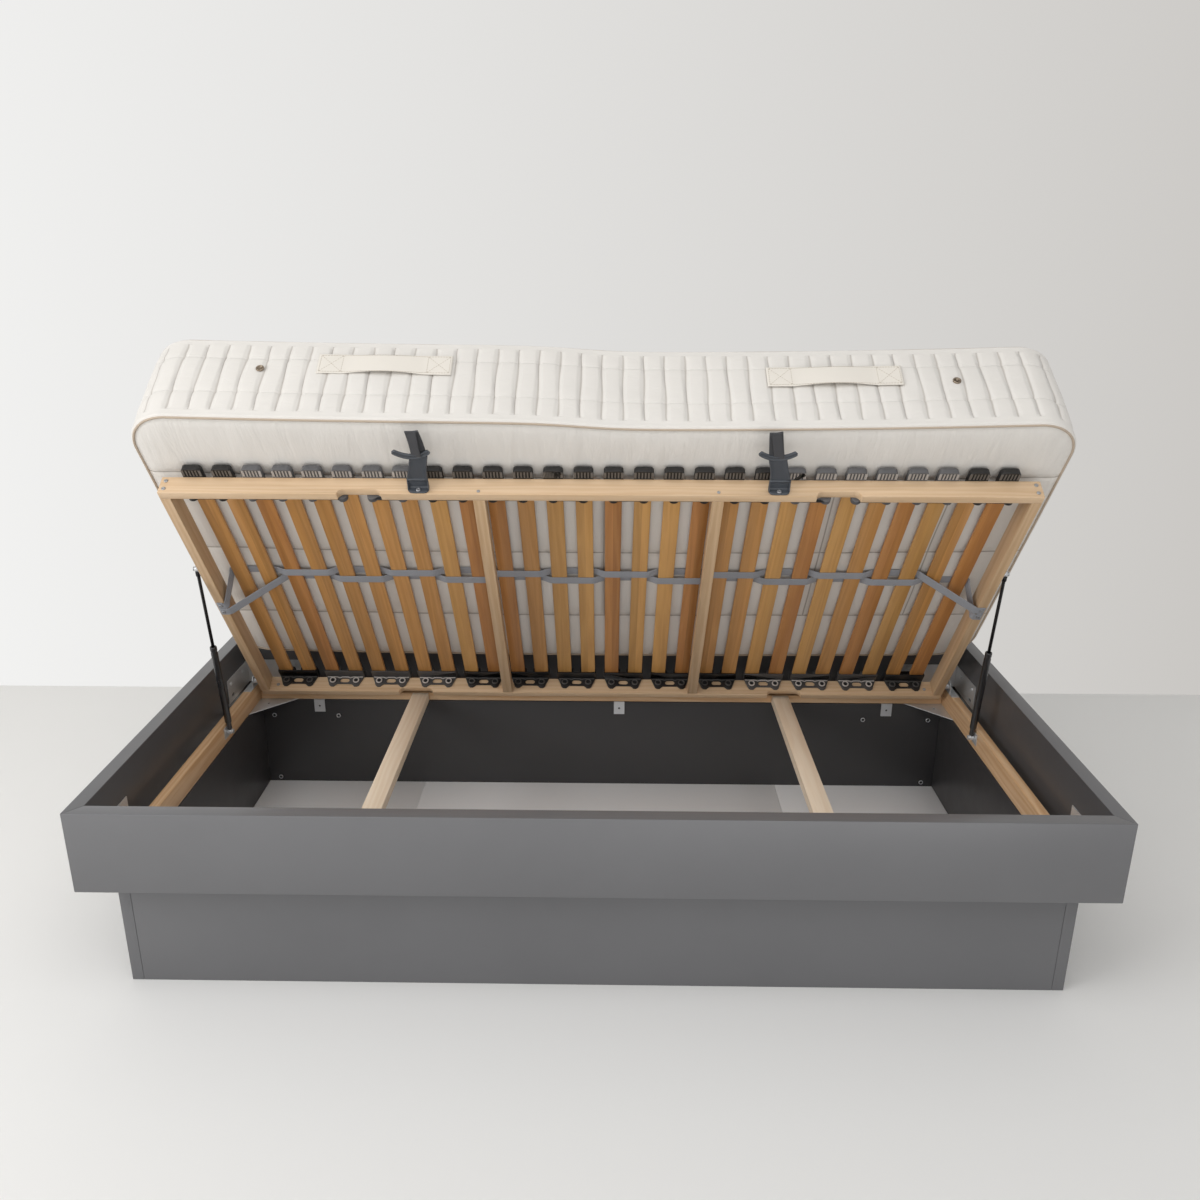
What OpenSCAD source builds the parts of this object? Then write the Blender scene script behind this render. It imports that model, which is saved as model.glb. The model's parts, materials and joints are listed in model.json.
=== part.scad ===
// Side-opening storage bed: recessed plinth, mitred surround, fixed timber
// sub-frame, hinged slatted base on two gas struts, and a loose mattress.
// Millimetres. X along the bed, Y from the opening side (-) to the hinge side (+),
// Z up. Origin on the floor under the middle of the surround.
// The lifting base is drawn in its own frame (hinge edge at y = 0, opening side
// at y = -base_width, underside at z = 0) and placed by lift() at open_angle.

/* [Surround] */
// Outside length of the surround
bed_length = 2100; // [1900:10:2300]
// Outside width of the surround
bed_width = 1000; // [900:10:1300]
// Height of the surround's top edge above the floor
surround_top = 438; // [410:1:480]
// Height of the surround boards
surround_height = 180; // [160:1:220]
// Thickness of the surround boards
board = 33; // [20:1:36]
// Half width of the open line in each mitre
mitre_gap = 0.3; // [0.1:0.1:1]
// Length of each leg of the steel corner angles
angle_leg = 160; // [120:5:180]
// Height of the steel corner angles
angle_height = 67; // [50:1:75]
// Gap between the channel brackets and the corner angles over them
angle_over = 12.4; // [4:0.2:30]
// Thickness of the flat steel fittings
steel = 2; // [1.5:0.1:2]

/* [Plinth] */
// How far the plinth stands in from the surround's outside, all round
setback = 57; // [54:1:80]
// Thickness of the plinth boards
plinth_board = 25; // [22:1:30]
// Height of the plinth
plinth_height = 264; // [240:1:280]
// Thickness of the loose floor panels
panel = 4; // [3:0.5:10]

/* [Sub-frame] */
// Thickness of the battens on the plinth boards
batten_thick = 23; // [19:1:24]
// Height of the end and front battens
batten_height = 52.4; // [46:0.2:60]
// Height of the low hinge-side batten
back_batten_height = 22.4; // [18:0.2:24]
// Width of the two cross slats
cross_width = 46; // [35:1:60]
// Distance of the cross slats from the plinth's inner ends
cross_in = 458; // [300:1:600]
// Free length of the triangular plates along the plinth boards
corner_leg = 100; // [60:5:130]

/* [Lifting base] */
// How far the closed base bears on the front batten
front_rest = 15; // [10:1:20]
// Hinge edge of the closed base past the plinth's inner back face
closed_overhang = 2; // [0:0.5:6]
// Gap between the end rails and the end battens, where the struts lie
strut_gap = 18; // [18:0.5:26]
// Height of the rails
rail_height = 46; // [44:1:50]
// Thickness of the two long rails
long_rail = 20; // [18:1:24]
// Thickness of the two end rails
end_rail = 23; // [20:1:28]
// How far the base opens from lying flat
open_angle = 54.66; // [45:0.01:56]
// Pivot, measured in from the hinge edge
pivot_in = 40.5; // [36:0.5:48]
// Pivot height above the underside of the rails
pivot_up = 19.4; // [17:0.1:23]
// Radius of the hinge pins
pin_r = 4; // [3:0.25:5]
// Height of the two rungs
rung_height = 24; // [18:1:30]
// Thickness of the two rungs
rung = 26; // [20:1:30]
// Distance of the rail notches from the base's ends
notch_in = 435; // [300:5:600]
// Width of the rail notches
notch_width = 95; // [60:1:110]
// Depth of the rail notches
notch_depth = 14; // [8:1:18]

/* [Slats] */
// Distance from the end rails' inner faces to the outer slats' middles
slat_margin = 44.1; // [40:0.1:50]
// Width of a slat
slat_width = 38; // [30:1:40]
// Thickness of a slat
slat_thick = 8; // [6:0.5:9]
// Upward bow of a slat at its middle
slat_bow = 6; // [3:0.5:8]
// How far the slats run past the opening-side rail
slat_past = 19; // [14:1:22]
// Width of a rubber cap
cap_width = 43; // [42:0.5:48]
// Wall of a rubber cap round its slat
cap_wall = 3; // [2:0.1:4]
// Width of a woven belt
belt_width = 25; // [18:1:26]
// Thickness of a woven belt
belt_thick = 1.6; // [1:0.1:1.8]
// Distance of the middle between the belts from the hinge edge
belt_line = 486; // [430:1:520]

/* [Gas struts] */
// Lower strut pivot, towards the hinge side from the middle of the bed
strut_low_y = 149; // [120:1:170]
// Lower strut pivot above the plinth's top
strut_low_up = 33; // [30:1:36]
// Upper strut pivot from the hinge edge of the base
strut_up_in = 565; // [540:1:600]
// Upper strut pivot above the base's underside
strut_up_v = 14; // [12:1:20]
// Length of the cylinder from the lower pivot
cylinder_length = 256; // [230:1:262]
// Radius of the cylinder
cylinder_r = 6.4; // [5.5:0.1:6.4]
// Radius of the piston rod
rod_r = 3; // [2.5:0.1:4]
// Radius of the ball studs at both ends
stud_r = 4; // [3:0.1:4.5]

/* [Mattress] */
// Room between the mattress and the surround along the bed
room_x = 10; // [10:1:30]
// Room between the mattress and the surround across the bed
room_y = 19.5; // [19:0.5:30]
// How far the mattress lies off the middle of the bed
mattress_shift = 6; // [-8:1:8]
// Thickness of the mattress at its border
mattress_thick = 256; // [150:1:300]
// How far the mattress slides towards the opening side as the base opens
mattress_slide = 138; // [110:1:140]
// Sag of the mattress's long sides at their middle
mattress_sag = 16; // [4:1:16]
// Rise of the crown over the border
crown = 14; // [4:1:40]
// Slant of the border's lower and upper edge
edge_slant = 18; // [16:1:24]
// Corner radius of the mattress in plan
corner_r = 100; // [50:5:120]
// Distance between the border's stitched channels
channel = 45; // [40:1:80]
// Depth of the stitched channels
channel_depth = 4; // [2:0.5:6]
// Radius of the piping round both edges
piping_r = 2.5; // [2:0.1:3]

/* [Retainers] */
// Distance of the mattress retainers from the middle
retainer_x = 386; // [300:1:450]
// Width of a retainer's base
retainer_width = 46; // [38:1:56]
// Height of the tongue's pin above the base's underside
tongue_up = 19; // [18:0.5:20]
// Length of the tongue with its pull loop, from the pin
tongue_length = 143; // [130:1:143]
// How far the left tongue leans to the side
tongue_lean = 12; // [0:1:14]

/* [Hidden] */
fit = 0.3;              // clearance between neighbouring pieces
run = 0.05;             // radial clearance of a turning or sliding fit
past = 1;               // how far a cutting shape runs past a face
screw_r = 5;            // radius of a pan head
head = 2;               // height of a pan head
plate_bolt_r = 4;       // hole in the triangular plates

// Surround and plinth faces
L2 = bed_length/2;
W2 = bed_width/2;
inner_x = L2 - board;
inner_y = W2 - board;
px_out = L2 - setback;
py_out = W2 - setback;
px_in = px_out - plinth_board;
py_in = py_out - plinth_board;
surround_low = surround_top - surround_height;

// Sub-frame levels: plates on the plinth, then battens
plate_z = plinth_height + fit;
batten_z = plate_z + steel + fit;
batten_top = batten_z + batten_height;
batten_x = px_in + batten_thick;
batten_y = py_in + batten_thick;
cross_x = px_in - cross_in;
cross_z = plate_z;
cross_height = batten_z + back_batten_height - cross_z;
lap = cross_height/2;

// Lifting base: closed place, size and pivot
closed_z = batten_top + fit;
closed_y = py_in + closed_overhang;
base_width = closed_y + py_in + front_rest;
B2 = px_in - strut_gap;
pivot_y = closed_y - pivot_in;
pivot_z = closed_z + pivot_up;
end_face = B2 - end_rail;
notch_x = B2 - notch_in;

// Slats, in a row of fourteen pairs
slat_count = 28;
first_slat = slat_margin - end_face;
slat_pitch = -2*first_slat/(slat_count-1);
rung_x = 4*slat_pitch - 4;
slat_up = rail_height + 4;
slat_start = 14;
slat_end = base_width + slat_past;
slat_top = slat_up + slat_bow + slat_thick;
cap_z = rail_height + fit;
cap_top = slat_up + slat_thick + cap_wall + fit;
cap_in = 26;            // how far a nose cap reaches in over the front rail
nose = 5;               // how far a nose cap runs past its slat
hood = 50;              // how far a twin cap reaches in from the hinge edge

// Struts lie in the middle of their gap
strut_x = (B2 + px_in)/2;
strut_low_z = plinth_height + strut_low_up;

// Mattress outline and place on the slats
mx = inner_x - room_x;
my = inner_y - room_y;
mattress_up = slat_top + belt_thick + 3*fit;
mattress_in = mattress_slide - (inner_y - room_y - closed_y);

// Retainers
retainer_plate = 4;
cheek = 3;
tongue_pin = 1.5;
tongue_thick = 3.2;
tongue_root = 3.4;
tongue_clear = 0.9;     // upright tongue in front of the nose caps
tongue_out = slat_past + nose + tongue_clear + tongue_thick/2;
ear_reach = 72.5;
ear_step = 9.75;        // an eighth of the ears' span
ear_width = 10;
ear_thick = 6;

// Helpers
module box(a, b) { translate(a) cube(b - a); }
module bothx() {
  children();
  mirror([1,0,0]) children();
}
module bothy() {
  children();
  mirror([0,1,0]) children();
}
module lift() {
  translate([0,pivot_y,pivot_z]) rotate([-open_angle,0,0])
    translate([0,pivot_in,-pivot_up]) children();
}
// Rod along X from a to b, at height z of the plane y
module rod_x(a, b, y, z, r, n = 32) {
  translate([a,y,z]) rotate([0,90,0]) cylinder(r = r, h = b-a, $fn = n);
}
// Bar of rectangular section along points; a and b are half-section vectors
module ribbon(p, a, b) {
  n = len(p);
  v = [for (q = p) each [q+a+b, q-a+b, q-a-b, q+a-b]];
  f = concat([[0,1,2],[0,2,3]],
    [for (i = [0:n-2], k = [0:3]) let (m = (k+1)%4)
      each [[4*i+k, 4*i+4+k, 4*i+4+m],[4*i+k, 4*i+4+m, 4*i+m]]],
    [[4*n-4,4*n-2,4*n-3],[4*n-4,4*n-1,4*n-2]]);
  polyhedron(v, f);
}
// Closed cord of hexagonal section through points; o gives outward directions
module ring(p, o, r) {
  n = len(p);
  v = [for (i = [0:n-1], k = [0:5]) p[i] + r*(o[i]*cos(60*k) + [0,0,sin(60*k)])];
  f = [for (i = [0:n-1], k = [0:5]) let (j = (i+1)%n, m = (k+1)%6)
    each [[6*i+k, 6*i+m, 6*j+m],[6*i+k, 6*j+m, 6*j+k]]];
  polyhedron(v, f);
}
// Pan head with a hexagon socket, standing on the plane z = 0
module pan_head(r = screw_r) {
  difference() {
    cylinder(r = r, h = head, $fn = 24);
    translate([0,0,head/2]) cylinder(r = r*0.45, h = head, $fn = 6);
  }
}

// Surround: four boards mitred at the corners
module long_side() {
  translate([0,0,surround_low]) linear_extrude(surround_height)
    polygon([[-L2+mitre_gap,-W2],[L2-mitre_gap,-W2],
             [inner_x-mitre_gap,-inner_y],[-inner_x+mitre_gap,-inner_y]]);
}
module short_side() {
  translate([0,0,surround_low]) linear_extrude(surround_height)
    polygon([[L2,-W2+mitre_gap],[L2,W2-mitre_gap],
             [inner_x,inner_y-mitre_gap],[inner_x,-inner_y+mitre_gap]]);
}
module surround_front() color("dimgray") long_side();
module surround_back() color("dimgray") mirror([0,1,0]) long_side();
module surround_right() color("dimgray") short_side();
module surround_left() color("dimgray") mirror([1,0,0]) short_side();

// Steel angles screwed into the surround's four inner corners
angle_slot = [20, 8];   // length and width of the slot near each end
module angle_slot_cut() {
  rotate([-90,0,0]) {
    for (s = [-1,1]) translate([s*(angle_slot[0]-angle_slot[1])/2,0,0])
      cylinder(d = angle_slot[1], h = 3*steel, $fn = 20);
    translate([0,0,1.5*steel])
      cube([angle_slot[0]-angle_slot[1],angle_slot[1],3*steel], center = true);
  }
}
module corner_angle() {
  x = inner_x - fit;
  y = inner_y - fit;
  z0 = batten_z + past + carrier_height + angle_over;
  low = z0 + angle_height/4;
  high = z0 + angle_height*3/4;
  slot_in = 30;
  difference() {
    translate([0,0,z0]) linear_extrude(angle_height)
      polygon([[x,y],[x-angle_leg,y],[x-angle_leg,y-steel],[x-steel,y-steel],
               [x-steel,y-angle_leg],[x,y-angle_leg]]);
    translate([x-angle_leg+slot_in,y-2*steel,low]) angle_slot_cut();
    translate([x-2*steel,y-angle_leg+slot_in,low]) rotate([0,0,-90]) angle_slot_cut();
  }
  for (u = [0.3,0.85]*angle_leg) {
    translate([x-u,y-steel,high]) rotate([90,0,0]) pan_head();
    translate([x-steel,y-u,high]) rotate([0,-90,0]) pan_head();
  }
}
module corner_angles() color("silver") bothx() bothy() corner_angle();

// Channel brackets that carry the surround on the battens
carrier_width = 40;
carrier_height = 20;
carrier_y = [-250, 65, 300];
carrier_in = 108;       // outer carriers on the long sides, from the plinth's ends
module carrier(gap) {
  translate([fit,-carrier_width/2,0]) difference() {
    cube([gap-2*fit,carrier_width,carrier_height]);
    translate([steel,-past,steel])
      cube([gap-2*fit-2*steel,carrier_width+2*past,carrier_height]);
  }
}
module carrier_brackets() color("silver") {
  for (y = carrier_y)
    bothx() translate([batten_x,y,batten_z+past]) carrier(inner_x-batten_x);
  for (x = [carrier_in-px_in,0,px_in-carrier_in])
    bothy() translate([x,batten_y,batten_z+past]) rotate([0,0,90]) carrier(inner_y-batten_y);
}

// Plinth: long boards between the end boards, and loose floor panels
module plinth_long() box([-px_in+fit,-py_out,0],[px_in-fit,-py_in,plinth_height]);
module plinth_short() box([px_in,-py_out,0],[px_out,py_out,plinth_height]);
module plinth_front() color("gray") plinth_long();
module plinth_back() color("gray") mirror([0,1,0]) plinth_long();
module plinth_right() color("gray") plinth_short();
module plinth_left() color("gray") mirror([1,0,0]) plinth_short();
bolt_places = [[33,216],[33,17],[218,216]];  // in from the plinth's end, and up
module plinth_bolts() color("silver") bothx() bothy() for (q = bolt_places)
  translate([px_in-q[0],py_in-fit,q[1]]) rotate([90,0,0]) pan_head();
module floor_panel(x0, x1) color("white") box([x0,-py_in+fit,0],[x1,py_in-fit,panel]);
module floor_panel_left() floor_panel(-px_in+fit,-cross_x-fit);
module floor_panel_middle() floor_panel(-cross_x,cross_x);
module floor_panel_right() floor_panel(cross_x+fit,px_in-fit);

// Fixed sub-frame: battens on the plinth, notched for the cross slats
module cross_notch(y0, y1, top) {
  bothx() box([cross_x-cross_width/2-fit,y0-past,batten_z-past],
              [cross_x+cross_width/2+fit,y1+past,top]);
}
module end_batten() box([px_in,-batten_y,batten_z],[batten_x,batten_y,batten_top]);
module end_batten_right() color("burlywood") end_batten();
module end_batten_left() color("burlywood") mirror([1,0,0]) end_batten();
module front_batten() color("burlywood") difference() {
  box([-px_in+fit,-batten_y,batten_z],[px_in-fit,-py_in,batten_top]);
  cross_notch(-batten_y,-py_in,cross_z+cross_height+fit);
}
module hinge_side_batten() color("burlywood") difference() {
  box([-px_in+fit,py_in,batten_z],[px_in-fit,batten_y,batten_z+back_batten_height]);
  cross_notch(py_in,batten_y,cross_z+lap+fit);
}
module cross_slat() {
  x0 = cross_x - cross_width/2;
  box([x0,-batten_y,cross_z],[x0+cross_width,py_in-fit,cross_z+cross_height]);
  box([x0,py_in-fit-past,cross_z],[x0+cross_width,batten_y,cross_z+lap]);
}
module cross_slat_right() color("wheat") cross_slat();
module cross_slat_left() color("wheat") mirror([1,0,0]) cross_slat();
module corner_plates() color("silver") bothx() bothy() difference() {
  leg = corner_leg + 2*(plinth_board - steel);
  x = px_out - steel;
  y = py_out - steel;
  hole_in = 0.3*corner_leg;
  translate([0,0,plate_z]) linear_extrude(steel) polygon([[x,y],[x-leg,y],[x,y-leg]]);
  translate([px_in-hole_in,py_in-hole_in,plate_z-past])
    cylinder(r = plate_bolt_r, h = steel+2*past, $fn = 24);
}
batten_angle_width = 30;
batten_angle_leg = 36;
batten_angle_in = [166, 154];  // outer angles, in from the plinth's ends
batten_angle_mid = 55;          // middle angle, off the bed's middle
module batten_angles() color("silver") bothy() for (x = [batten_angle_in[0]-px_in,
    batten_angle_mid,px_in-batten_angle_in[1]]) {
  half = batten_angle_width/2;
  box([x-half,py_in-fit,plate_z],[x+half,batten_y-past,plate_z+steel]);
  difference() {
    box([x-half,py_in-fit-steel,plinth_height-batten_angle_leg],
        [x+half,py_in-fit,plate_z+steel]);
    translate([x,py_in+past,plinth_height-batten_angle_leg/2]) rotate([90,0,0])
      cylinder(r = 3, h = 3*steel, $fn = 20);
  }
}

// Steel ears on the end battens with the hinge pins
hinge_ear = 15;
hinge_foot = 34;
module hinge_brackets() color("silver") bothx() {
  x = px_in + fit;
  foot_z = batten_top + fit;
  difference() {
    union() {
      box([x,pivot_y-hinge_foot,foot_z],[batten_x-steel,pivot_y+hinge_foot,foot_z+steel]);
      box([x,pivot_y-hinge_ear,foot_z],[x+steel,pivot_y+hinge_ear,pivot_z]);
      rod_x(x,x+steel,pivot_y,pivot_z,hinge_ear,48);
    }
    for (s = [-1,1]) translate([(x+steel+batten_x)/2,pivot_y+s*0.75*hinge_foot,foot_z-past])
      cylinder(r = 2.5, h = steel+2*past, $fn = 20);
  }
  rod_x(end_face+10,x+past,pivot_y,pivot_z,pin_r);
  rod_x(B2+2*fit+steel,x+past,pivot_y,pivot_z,pin_r+3);
}
// Plates on the plinth's end battens with the lower strut studs
module strut_lower_mounts() color("silver") bothx() {
  x = px_in - fit;
  half = [20, 15];
  difference() {
    box([x-steel,strut_low_y-half[0],strut_low_z-half[1]],
        [x,strut_low_y+half[0],strut_low_z+half[1]]);
    for (s = [-1,1]) rod_x(x-steel-past,x+past,strut_low_y+s*0.7*half[0],
                           strut_low_z+0.55*half[1],2.5,20);
  }
  rod_x(strut_x-7,x-steel+past,strut_low_y,strut_low_z,stud_r);
  rod_x(strut_x-9,strut_x-6,strut_low_y,strut_low_z,stud_head);
}

// Lifting base: two long rails, end rails between them, and two low rungs
module notch(y0, y1) bothx() {
  half = notch_width/2 - notch_depth;
  box([notch_x-half,y0,-past],[notch_x+half,y1,notch_depth]);
  for (s = [-1,1]) translate([notch_x+s*half,y0,0]) rotate([-90,0,0])
    cylinder(r = notch_depth, h = y1-y0, $fn = 48);
}
module long_rail_at(y) difference() {
  box([-B2,y,0],[B2,y+long_rail,rail_height]);
  notch(y-past,y+long_rail+past);
}
module base_rail_front() color("burlywood") lift() long_rail_at(-base_width);
module base_rail_hinge() color("burlywood") lift() long_rail_at(-long_rail);
module cross_bar(x0, x1, high) {
  box([x0,-base_width+long_rail+fit,0],[x1,-long_rail-fit,high]);
}
module base_end_rail() difference() {
  cross_bar(end_face,B2,rail_height);
  rod_x(end_face+8,B2+past,-pivot_in,pivot_up,pin_r+1);
}
module base_rail_right() color("burlywood") lift() base_end_rail();
module base_rail_left() color("burlywood") lift() mirror([1,0,0]) base_end_rail();
module base_rungs() color("burlywood") lift() bothx()
  cross_bar(rung_x-rung/2,rung_x+rung/2,rung_height);

// One bowed slat, drawn in the plane of its length and height
function slat_x(i) = first_slat + i*slat_pitch;
module slat(i) {
  n = 10;
  low = [for (k = [0:n]) [-slat_start-(slat_end-slat_start)*k/n,
                          slat_up+slat_bow*(1-pow(2*k/n-1,2))]];
  translate([slat_x(i)-slat_width/2,0,0]) rotate([90,0,90]) linear_extrude(slat_width)
    polygon(concat(low,[for (k = [n:-1:0]) low[k]+[0,slat_thick]]));
}
golden = [8,12,13,15,16,20,22,25];
russet = [2,9,10,14,17,21,24,27];
honey = [0,1,3,4,5,6,7,11,18,19,23,26];
module slats_golden() color("goldenrod") lift() for (i = golden) slat(i);
module slats_russet() color("sienna") lift() for (i = russet) slat(i);
module slats_honey() color("peru") lift() for (i = honey) slat(i);

// Rubber cap on the opening-side rail: a sleeve whose ribbed nose stands proud
module nose_cap(i) {
  w = cap_width/2;
  r = 9;
  tip = slat_end + nose;
  back = base_width - cap_in;
  rib = 3.4;
  translate([slat_x(i),0,0]) difference() {
    union() {
      box([-w,-tip+r,cap_z],[w,-back,cap_top]);
      box([-w+r,-tip,cap_z],[w-r,-tip+r+past,cap_top]);
      for (s = [-1,1]) translate([s*(w-r),-tip+r,cap_z])
        cylinder(r = r, h = cap_top-cap_z, $fn = 24);
    }
    box([-slat_width/2-fit,-slat_end-fit,slat_up-fit],
        [slat_width/2+fit,-back+past,slat_up+slat_thick+slat_bow/3]);
    for (k = [-2:2]) box([k*7-rib/2,-tip+4,cap_z-past],[k*7+rib/2,-base_width-2,cap_z+2.6]);
  }
}
// Two nose caps share a plate on the rail's inner face, which hangs lower than
// a twin cap's plate and has deeper bosses
nose_plate_low = 3;
nose_boss_up = 15;
nose_boss_r = 11;
nose_boss_deep = 12;
module nose_caps(list) lift() for (j = list) {
  nose_cap(2*j);
  nose_cap(2*j+1);
  translate([slat_x(2*j+0.5),-base_width+long_rail+fit,0]) mirror([0,1,0]) rotate([90,0,0])
    cap_plate(nose_plate_low,nose_boss_up,nose_boss_r,nose_boss_deep);
}
dark_pairs = [0,4,5,6,7,8,9,13];
grey_pairs = [1,2,3,10,11,12];
module nose_caps_dark() color("black") nose_caps(dark_pairs);
module nose_caps_grey() color("gray") nose_caps(grey_pairs);

// Rubber cap for two slats: a hood over the hinge rail, and a plate with two
// round bosses and a finger slot that hangs on the rail's inner face
plate_low = 14;         // lowest point of the plate above the rail's underside
boss_up = 32;
boss_r = 9;
cap_x = slat_pitch/2;
cap_half = cap_x + cap_width/2;
module cap_plate_face(low, boss) difference() {
  w = cap_half;
  x = cap_x;
  top = cap_z + 3;
  union() {
    for (s = [-1,1]) polygon([[s*w,top],[s*(x+9),low+4],[s*(x+4),low],
      [s*(x-4),low],[s*(x-9),low+5],[s*(x-14),low+9],[s*(x-14),top]]);
    polygon([[-x,low+8],[x,low+8],[x,top],[-x,top]]);
  }
  translate([0,boss+4]) polygon([[-13,-6],[-9,-9],[9,-9],[13,-6],[13,0],[8,4],[-8,4],[-13,0]]);
}
cap_plate_thick = 4;
module cap_plate(low, boss, r, deep) difference() {
  union() {
    linear_extrude(cap_plate_thick) cap_plate_face(low,boss);
    for (s = [-1,1]) translate([s*cap_x,boss,0]) cylinder(r = r, h = deep, $fn = 28);
  }
  for (s = [-1,1]) translate([s*cap_x,boss,cap_plate_thick])
    cylinder(r = r-4, h = deep, $fn = 24);
}
module twin_cap(j) {
  x = cap_x;
  w = cap_half;
  face = long_rail + fit;
  finger = 9;
  translate([slat_x(2*j+0.5),0,0]) difference() {
    union() {
      box([-w,-hood,cap_z],[w,-8,cap_top]);
      translate([0,-face,0]) rotate([90,0,0])
        cap_plate(plate_low,boss_up,boss_r,2*cap_plate_thick);
    }
    for (s = [-1,1]) translate([s*x,0,0])
      box([-slat_width/2-fit,-hood-past,slat_up-fit],
          [slat_width/2+fit,-slat_start+fit,slat_up+slat_thick+slat_bow/3]);
    box([-finger,-hood-past,cap_z+4],[finger,-face-cap_plate_thick,cap_top+past]);
  }
}
module twin_caps(list) lift() for (j = list) twin_cap(j);
module twin_caps_dark() color("black") twin_caps(dark_pairs);
module twin_caps_grey() color("gray") twin_caps(grey_pairs);

// Belts woven over and under the slats two by two, pulled to one screw at each
// end rail; side -1 lies nearer the hinge and starts under the slats
belt_gap = 0.4;         // half the gap between the two belts
belt_pull = 65;         // how far the end screws lie nearer the hinge
module belt(side) {
  y = -belt_line - side*(belt_width/2 + belt_gap);
  low = slat_up + slat_bow - belt_thick/2 - 2*fit;
  high = slat_top + belt_thick/2 + fit;
  reach = slat_width/2 + 2;
  pairs = slat_count/2;
  under = side < 0 ? 0 : 1;
  run_x = [for (j = [0:pairs-1]) each let (z = j%2 == under ? low : high)
    [[slat_x(2*j)-reach,y,z],[slat_x(2*j+1)+reach,y,z]]];
  screw_x = B2 - end_rail/2;
  screw_y = -belt_line + belt_pull - side*(belt_width/2 + belt_gap);
  turn_x = end_face - 2.5;
  z0 = -belt_thick/2 - fit;
  free = [for (k = [0:len(run_x)-1])
    if (!(k == 0 && side < 0) && !(k == len(run_x)-1 && side > 0)) run_x[k]];
  ribbon(concat([[-screw_x-8,screw_y,z0],[-turn_x,screw_y,z0]],free,
                [[turn_x,screw_y,z0],[screw_x+8,screw_y,z0]]),
         [0,belt_width/2,0],[0,0,belt_thick/2]);
}
module belt_a() color("darkgray") lift() belt(-1);
module belt_b() color("darkgray") lift() belt(1);

// Screw heads of the base: rail ends, rungs, hinge rail, belts and retainers
module base_screws() color("silver") lift() bothx() {
  y = -base_width - fit;
  for (z = [12,34]) translate([B2-end_rail/2,y,z]) rotate([90,0,0]) pan_head();
  translate([rung_x,y,9]) rotate([90,0,0]) pan_head(3.5);
  translate([end_face-21,-long_rail-fit,20]) rotate([90,0,0]) pan_head();
  for (side = [-1,1])
    translate([B2-end_rail/2,-belt_line+belt_pull-side*(belt_width/2+belt_gap),-belt_thick-2*fit])
      rotate([180,0,0]) pan_head();
  translate([retainer_x,y-retainer_plate-fit,8.5]) rotate([90,0,0]) pan_head();
}
// Steel leaves on the end rails with the holes that turn on the hinge pins
leaf_past = 30;         // how far a hinge leaf reaches past its pin
leaf_edge = [6, 4];     // leaf in from the rail's end, and from its two edges
module hinge_leaves() color("silver") lift() bothx() difference() {
  box([B2+fit,-pivot_in-leaf_past,leaf_edge[1]],
      [B2+fit+steel,-leaf_edge[0],rail_height-leaf_edge[1]]);
  rod_x(B2,B2+3*steel,-pivot_in,pivot_up,pin_r+run);
}
module strut_upper_mounts() color("silver") lift() bothx() {
  box([B2+fit,-strut_up_in-22,3],[B2+steel,-strut_up_in+22,strut_up_v+12]);
}

// Retainers: a plate with two cheeks and a pin, and a tongue that turns on it
module retainer_bases() color("dimgray") lift() bothx() translate([retainer_x,0,0]) {
  face = -base_width - fit;
  w = retainer_width/2;
  r = 10;
  translate([0,face,0]) rotate([90,0,0]) linear_extrude(retainer_plate) {
    translate([-w+r,1]) square([2*w-2*r,tongue_up+8]);
    translate([-w,1+r]) square([2*w,tongue_up+8-r]);
    for (s = [-1,1]) translate([s*(w-r),1+r]) circle(r, $fn = 32);
  }
  box([-w+past,tongue_root+2*fit-base_width-tongue_out,tongue_up-2.5],
      [w-past,face-past,tongue_up+2.5]);
  for (s = [-1,1]) box([s*(w-cheek/2)-cheek/2,-base_width-tongue_out-tongue_root,tongue_up-4],
                       [s*(w-cheek/2)+cheek/2,face-past,tongue_up+6]);
  rod_x(-w+past,w-past,-base_width-tongue_out,tongue_up,tongue_pin);
}
// The tongue's ears are crescents; lean shifts its outer half sideways
module tongue(lean) {
  w = retainer_width/2 - cheek - fit;
  difference() {
    union() {
      rod_x(-w,w,0,0,tongue_root);
      translate([0,0,-tongue_thick/2]) linear_extrude(tongue_thick)
        polygon([[-w,0],[w,0],[w-3-lean/2,-ear_reach],[3-w-lean/2,-ear_reach]]);
    }
    rod_x(-w-past,w+past,0,0,tongue_pin+run);
  }
  ribbon([for (k = [-4:4]) [k*ear_step-lean,-ear_reach-k*k+3,0]],
         [0,ear_width/2,0],[0,0,ear_thick/2]);
}
module at_tongue(x) {
  lift() translate([x,-base_width-tongue_out,tongue_up]) children();
}
module retainer_tongue_left() color("dimgray") at_tongue(-retainer_x) tongue(tongue_lean);
module retainer_tongue_right() color("dimgray") at_tongue(retainer_x) tongue(0);
// Folded webbing, narrower towards its tip, out from the ears and back
module pull_loop() {
  root_half = 17;
  tip_half = 12;
  root = ear_reach - 3 + pow(root_half/ear_step,2) + ear_width/2 + 2*fit;
  n = 8;
  web = 1.6;
  rise = 4;
  function side(s, t, h) = [-root-(tongue_length-root)*t, s*(rise*sin(180*t)+h)];
  intersection() {
    rotate([90,0,90]) linear_extrude(40, center = true) difference() {
      polygon(concat([for (k = [0:n]) side(1,k/n,web)],[for (k = [n:-1:0]) side(-1,k/n,web)]));
      polygon(concat([for (k = [1:n-1]) side(1,k/n,0)],[for (k = [n-1:-1:1]) side(-1,k/n,0)]));
    }
    translate([0,0,-10]) linear_extrude(20)
      polygon([[-root_half,-root+past],[root_half,-root+past],
               [tip_half,-tongue_length-past],[-tip_half,-tongue_length-past]]);
  }
}
module pull_loop_left() color("darkslategray") at_tongue(-retainer_x-tongue_lean) pull_loop();
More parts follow.
